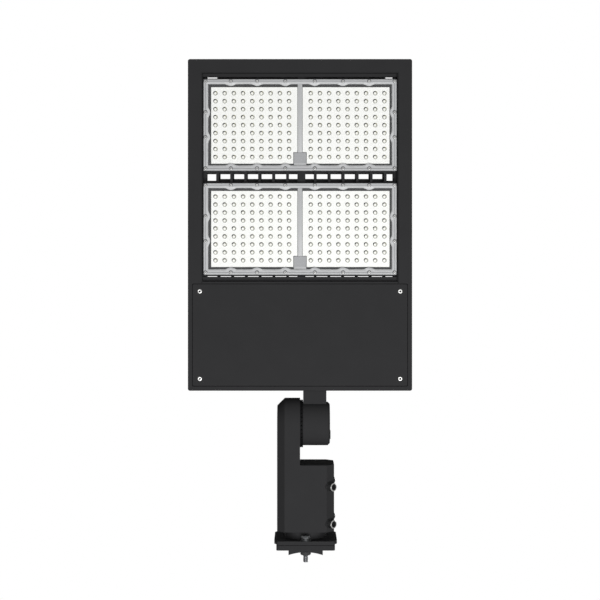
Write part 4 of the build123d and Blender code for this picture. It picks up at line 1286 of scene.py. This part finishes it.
@dataclass
class Knuckle:
    """The tilting knuckle between the housing and the slip fitter."""

    shade_ring_play: float = 0.02  # ring of painted shade to either tooth ring
    shade_ring_rim: float = 0.6  # it stays inside the rings' rim
    shade_ring_bore: float = 24.5

    def gap_shade_ring(self) -> Piece:
        """Thin near-black ring that fills the gap between the tooth rings: painted shade in that gap.

        Returns:
            The piece.
        """
        low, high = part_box("fitter_tooth_ring")
        left = high.x / MM + self.shade_ring_play
        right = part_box("arm_tooth_ring")[0].x / MM - self.shade_ring_play
        rim = (high.z - low.z) / 2 / MM - self.shade_ring_rim
        rings = [Ring(self.shade_ring_bore, left), Ring(rim, left), Ring(rim, right), Ring(self.shade_ring_bore, right)]
        mesh = turned_mesh("knuckle_dust_seal", rings, Vector((1, 0, 0)), hollow=True)
        mesh.transform(Matrix.Translation((0, (low.y + high.y) / 2, (low.z + high.z) / 2)))
        return new_piece("knuckle_dust_seal", mesh, SEAM_SHADE)

    def build(self) -> None:
        """Builds the ring of painted shade and dresses the knuckle's pieces."""
        mount_piece(self.gap_shade_ring(), "fitter", "silicone")
        dress(POWDER_COAT, "knuckle_arm", "knuckle_cap")
        # The tooth rings are painted near black for the shade between cheek and barrel.
        dress(TOOTH_RING_SHADE, "arm_tooth_ring", "fitter_tooth_ring")
        dress(SILICONE, "arm_gasket", "knuckle_seal")
        dress(ZINC, "arm_screws", "pivot_bolt", "pivot_washer", "pivot_lock_washer")
        dress(BLACK_OXIDE_AND_SOCKET_SHADE, "tilt_lock_screw")
        dress(BRONZE, "pivot_bush")


@dataclass
class SlipFitter:
    """The sleeve with its cheek and set screws."""

    head_radius: float = 6.0
    head_height: float = 7.8
    rim_width: float = 0.9  # rim painted bright as a highlight
    rim_bevel: float = 0.4
    rim_height: float = 0.5  # height of that bevel
    shank_radius: float = 4.0
    shank_length: float = 18.0
    socket_radius: float = 3.8
    socket_depth: float = 5.0
    mouth_depth: float = 0.6
    turn: float = 45.0  # to either side of the X axis, in degrees

    def rings(self, top: float) -> list[Ring]:
        """Profile of a set screw.

        Args:
            top: reach of its head from the sleeve's axis.

        Returns:
            The rings, from its tip to its socket's floor; the rim, painted bright as a highlight, has the
            second slot.
        """
        seat = top - self.head_height
        brim = self.head_radius - self.rim_bevel
        return [
            Ring(self.shank_radius, seat - self.shank_length),
            Ring(self.shank_radius, seat),
            Ring(self.head_radius, seat),
            Ring(self.head_radius, top - self.rim_height, slot=1),
            Ring(brim, top, slot=1),
            Ring(brim - self.rim_width, top),
            Ring(self.socket_radius, top - self.mouth_depth, Edge.HEX),
            Ring(self.socket_radius, top - self.socket_depth, Edge.HEX),
        ]

    def set_screws(self, grown: GrownTree) -> Piece:
        """Socket screws with a rim painted bright as a highlight, a pair on the chamfers at each of two
        heights.

        Args:
            grown: the tree that spreads the pair.

        Returns:
            All four as one piece.
        """
        low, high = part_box("set_screws")
        turn = math.radians(self.turn)
        top = (high.x / MM - self.head_radius * math.sin(turn)) / math.cos(turn)
        build = bmesh.new()
        for way in (-turn, turn):
            axis = Vector((math.cos(way), math.sin(way), 0))
            screw = turned_mesh("set_screw", self.rings(top), axis)
            build.from_mesh(screw)
            bpy.data.meshes.remove(screw)
        pair = new_piece("set_screw_pair", finish_mesh("set_screw_pair", build), BLACK_OXIDE_AND_SOCKET_SHADE, RIM_HIGHLIGHT_STEEL)
        radius = self.head_radius * MM
        points = [Vector((0, 0, height)) for height in (low.z + radius, high.z - radius)]
        return spread_piece("set_screws_worn", pair, points, grown)

    def build(self, screw: GrownTree) -> None:
        """Dresses the fitter and builds its screws.

        Args:
            screw: tree for the screws.
        """
        dress(POWDER_COAT, "slip_fitter")
        mount_piece(self.set_screws(screw), "fitter", "stainless", "set_screws")


@dataclass
class PoleAdapter:
    """The adapter under the fitter, with its threaded bolts."""

    head_flats: float = 11.1
    head_height: float = 4.4
    head_rounds: Point = (0.96, 0.94)  # head's foot and top, as shares of half its flats
    head_bevels: Point = (0.3, 0.7)  # heights of the bevels there
    shank_play: float = 0.3  # shank inside the stud's radius
    shank_taper: float = 0.4  # height over which it meets the thread's core
    core_radius: float = 3.2
    tip_share: float = 0.8  # tip, as a share of the core
    tip_height: float = 0.6
    thread_pitch: float = 1.27
    thread_ridge: float = 0.45
    plate_width: float = 83.4
    plate_step: float = 2.9  # plate's front inside the flange's
    plate_height: float = 8.2
    # band of painted shadow under the flange: its inset, height and depth
    bead_inset: float = 1.0
    bead_height: float = 1.2
    bead_depth: float = 0.4  # either side of the plate's face

    def rings(self, radius: float, seal: float) -> list[Ring]:
        """Profile of a pole bolt.

        Args:
            radius: of the stud.
            seal: height of the seal's lower end, where the thread ends.

        Returns:
            The rings, from the tip to the head.
        """
        tip, top = (corner.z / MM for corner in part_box("pole_bolts"))
        seat = top - self.head_height
        shank = radius - self.shank_play
        corner = self.head_flats / math.sqrt(3)
        foot_radius, top_radius = (share * self.head_flats / 2 for share in self.head_rounds)
        foot_bevel, top_bevel = self.head_bevels
        return [
            Ring(self.core_radius * self.tip_share, tip),
            Ring(self.core_radius, tip + self.tip_height),
            Ring(self.core_radius, seal),
            Ring(shank, seal + self.shank_taper),
            Ring(shank, seat),
            Ring(foot_radius, seat),
            Ring(corner, seat + foot_bevel, Edge.HEX),
            Ring(corner, top - top_bevel, Edge.HEX),
            Ring(top_radius, top),
        ]

    def bolt(self, radius: float, grown: GrownTree) -> Piece:
        """Hexagon bolt on the pole's axis, with a wound thread below its seal.

        Args:
            radius: of the stud.
            grown: tree for the thread.

        Returns:
            The bolt that a tree spreads; what lies below the seal has the second slot.
        """
        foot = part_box("pole_bolts")[0].z
        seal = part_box("pole_bolt_seals")[0].z
        ridge = self.thread_ridge * MM
        length = seal - foot - 2 * ridge
        thread = grown.grow("pole_bolt_thread", {
            "Turns": length / (self.thread_pitch * MM),
            "Radius": self.core_radius * MM,
            "Length": length,
            "Ridge": ridge,
            "Foot": Vector((0, 0, foot + ridge)),
            "Material": ZINC.material(),
        })
        build = bmesh.new()
        for mesh in (turned_mesh("pole_bolt_body", self.rings(radius, seal / MM), UP), thread):
            build.from_mesh(mesh)
            bpy.data.meshes.remove(mesh)
        for face in build.faces:
            face.material_index = int(face.calc_center_median().z < seal)
        return new_piece("pole_bolt_source", finish_mesh("pole_bolt", build), ZINC, ROLLED_ZINC)

    def bolts(self, thread: GrownTree, screw: GrownTree) -> Piece:
        """Bolts at the two studs that the record gives.

        Args:
            thread: tree for the threads.
            screw: the tree that spreads them.

        Returns:
            Both bolts as one piece.
        """
        studs = next(mount for mount in frame["record"]["mounts"] if mount["name"] == "pole_studs")["dims"]
        reach = studs["spacing_y_mm"] / 2 * MM
        points = [Vector((0, side * reach, 0)) for side in (-1, 1)]
        return spread_piece("pole_bolts_threaded", self.bolt(studs["stud_r_mm"], thread), points, screw)

    def shade_band(self, side: Side) -> Piece:
        """Near-black band in the step under the flange: painted shadow under the flange's edge.

        Args:
            side: which side of the plate.

        Returns:
            The bead.
        """
        half = (self.plate_width / 2 - self.bead_inset) * MM
        low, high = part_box("pole_adapter")
        step = self.plate_step * MM
        face = low.y + step if side is Side.FRONT else high.y - step
        depth = self.bead_depth * MM
        top = self.plate_height * MM
        least = Vector((-half, face - depth, top - self.bead_height * MM))
        most = Vector((half, face + depth, top))
        return block_piece(f"{side.value}_step_bead", least, most, SEAM_SHADE)

    def build(self, thread: GrownTree, screw: GrownTree) -> None:
        """Dresses the adapter and builds its bolts and its bands of painted shadow.

        Args:
            thread: tree for the threads.
            screw: the tree that spreads the bolts.
        """
        dress(POWDER_COAT, "pole_adapter")
        dress(SILICONE, "pole_bolt_seals")
        dress(ZINC, "pole_bolt_washers", "pole_bolt_lock_washers")
        mount_piece(self.bolts(thread, screw), "adapter", "zinc_steel", "pole_bolts")
        for side in Side:
            mount_piece(self.shade_band(side), "adapter", "silicone")


@dataclass(frozen=True)
class Lamp:
    """An area lamp: where it stands, its size, its power in watts, and whether gloss mirrors it."""

    name: str
    place: tuple[float, float, float]
    width: float
    height: float
    power: float
    mirrored: bool = True

    def stand(self, aim: Vector) -> None:
        """Sets the lamp up, in metres.

        Args:
            aim: the point that it faces.
        """
        data = bpy.data.lights.new(self.name, "AREA")
        data.shape = "RECTANGLE"
        data.size = self.width
        data.size_y = self.height
        data.energy = self.power
        lamp = bpy.data.objects.new(self.name, data)
        lamp.location = self.place
        lamp.visible_glossy = self.mirrored
        lamp.rotation_euler = (aim - Vector(self.place)).to_track_quat("-Z", "Y").to_euler()
        bpy.context.scene.collection.objects.link(lamp)


@dataclass
class Studio:
    """Floor, light and camera, in metres; the camera's lens and sensor are in millimetres."""

    floor_height: float = -0.4
    floor_radius: float = 0.9
    floor_sides: int = 96
    floor_colour: str = "#f2f2f2"
    floor_roughness: float = 0.9
    floor_glow: float = 0.8  # share of the floor that shows as plain white
    floor_white: float = 1.1  # makes up for the light that the rest of the floor lacks
    ambient: float = 0.08
    camera_place: tuple[float, float, float] = (-0.008, -1.934, 0.3557)
    camera_lens: float = 79.95
    camera_sensor: float = 36.0
    aim: tuple[float, float, float] = (0.0, 0.0, 0.36)
    lamps: tuple[Lamp, ...] = (
        Lamp("front_low_softbox", (0.3, -2.3, -0.45), 1.4, 0.7, 38.0),
        Lamp("front_level_softbox", (0.2, -3.0, 0.35), 1.6, 0.8, 34.0, mirrored=False),
        Lamp("left_softbox", (-2.4, 2.4, 0.0), 1.2, 0.5, 16.0),
        Lamp("right_softbox", (2.4, 2.4, 0.0), 1.2, 0.5, 16.0),
        Lamp("back_softbox", (0.0, 2.6, -0.1), 2.0, 0.5, 42.0),
    )

    def seen(self, tree: Tree) -> Socket:
        """Output that is 1 for rays that look at the background, straight, mirrored or through glass.

        Args:
            tree: the world's or the floor's tree.

        Returns:
            The output socket.
        """
        path = add_node(tree, "ShaderNodeLightPath").outputs
        looks = path["Is Camera Ray"]
        for other in ("Is Glossy Ray", "Is Transmission Ray"):
            either = add_node(tree, "ShaderNodeMath", {0: looks, 1: path[other]}, operation="MAXIMUM")
            looks = either.outputs[0]
        return looks

    def world(self) -> None:
        """White surroundings that light the object softly."""
        world = bpy.data.worlds.new("white_surroundings")
        world.use_nodes = True
        bpy.context.scene.world = world
        tree = world.node_tree
        soft = tree.nodes["Background"]
        soft.inputs["Color"].default_value = linear(WHITE)
        soft.inputs["Strength"].default_value = self.ambient
        white = add_node(tree, "ShaderNodeBackground", {"Color": linear(WHITE), "Strength": 1.0})
        mixed = add_node(
            tree, "ShaderNodeMixShader", {0: self.seen(tree), 1: soft.outputs[0], 2: white.outputs[0]}
        )
        tree.links.new(mixed.outputs[0], tree.nodes["World Output"].inputs["Surface"])

    def floor(self) -> None:
        """Pale floor below the object, which keeps its shadow."""
        build = bmesh.new()
        place = Matrix.Translation((0, 0, self.floor_height))
        bmesh.ops.create_circle(
            build, cap_ends=True, segments=self.floor_sides, radius=self.floor_radius, matrix=place
        )
        floor = new_piece("studio_floor", finish_mesh("studio_floor", build))
        paint = bpy.data.materials.new("matt_white_floor")
        paint.use_nodes = True
        tree = paint.node_tree
        matt = tree.nodes["Principled BSDF"]
        matt.inputs["Base Color"].default_value = linear(self.floor_colour)
        matt.inputs["Roughness"].default_value = self.floor_roughness
        matt.inputs["Specular IOR Level"].default_value = 0.0
        glow = add_node(tree, "ShaderNodeEmission", {"Color": linear(WHITE), "Strength": self.floor_white})
        share = add_node(
            tree, "ShaderNodeMath", {0: self.seen(tree), 1: self.floor_glow}, operation="MULTIPLY"
        )
        mixed = add_node(
            tree, "ShaderNodeMixShader", {0: share.outputs[0], 1: matt.outputs[0], 2: glow.outputs[0]}
        )
        tree.links.new(mixed.outputs[0], tree.nodes["Material Output"].inputs["Surface"])
        floor.data.materials.append(paint)

    def camera(self) -> None:
        """Camera square to the lens side, about half way up the light."""
        data = bpy.data.cameras.new("camera")
        data.sensor_width = self.camera_sensor
        data.lens = self.camera_lens
        camera = bpy.data.objects.new("camera", data)
        camera.location = self.camera_place
        camera.rotation_euler = (math.pi / 2, 0.0, 0.0)
        bpy.context.scene.collection.objects.link(camera)
        bpy.context.scene.camera = camera

    def build(self) -> None:
        """Sets up the whole studio."""
        bpy.context.scene.view_settings.view_transform = "Standard"
        self.world()
        self.floor()
        for lamp in self.lamps:
            lamp.stand(Vector(self.aim))
        self.camera()


def main() -> None:
    """Builds the studio and each sub-assembly in order."""
    logging.basicConfig(level=logging.INFO, format="%(message)s")
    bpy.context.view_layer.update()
    Studio().build()
    optic, screw, thread = optic_tree(), screw_tree(), thread_tree()
    LensModule(Place.UPPER).build(optic, screw)
    LensModule(Place.LOWER, optic_drop=0.2, board_shade_covers=(1.3, 0.3, 1.0, 0.55)).build(optic, screw)
    Housing().build(screw)
    Knuckle().build()
    SlipFitter().build(screw)
    PoleAdapter().build(thread, screw)


if __name__ == "__main__":
    main()
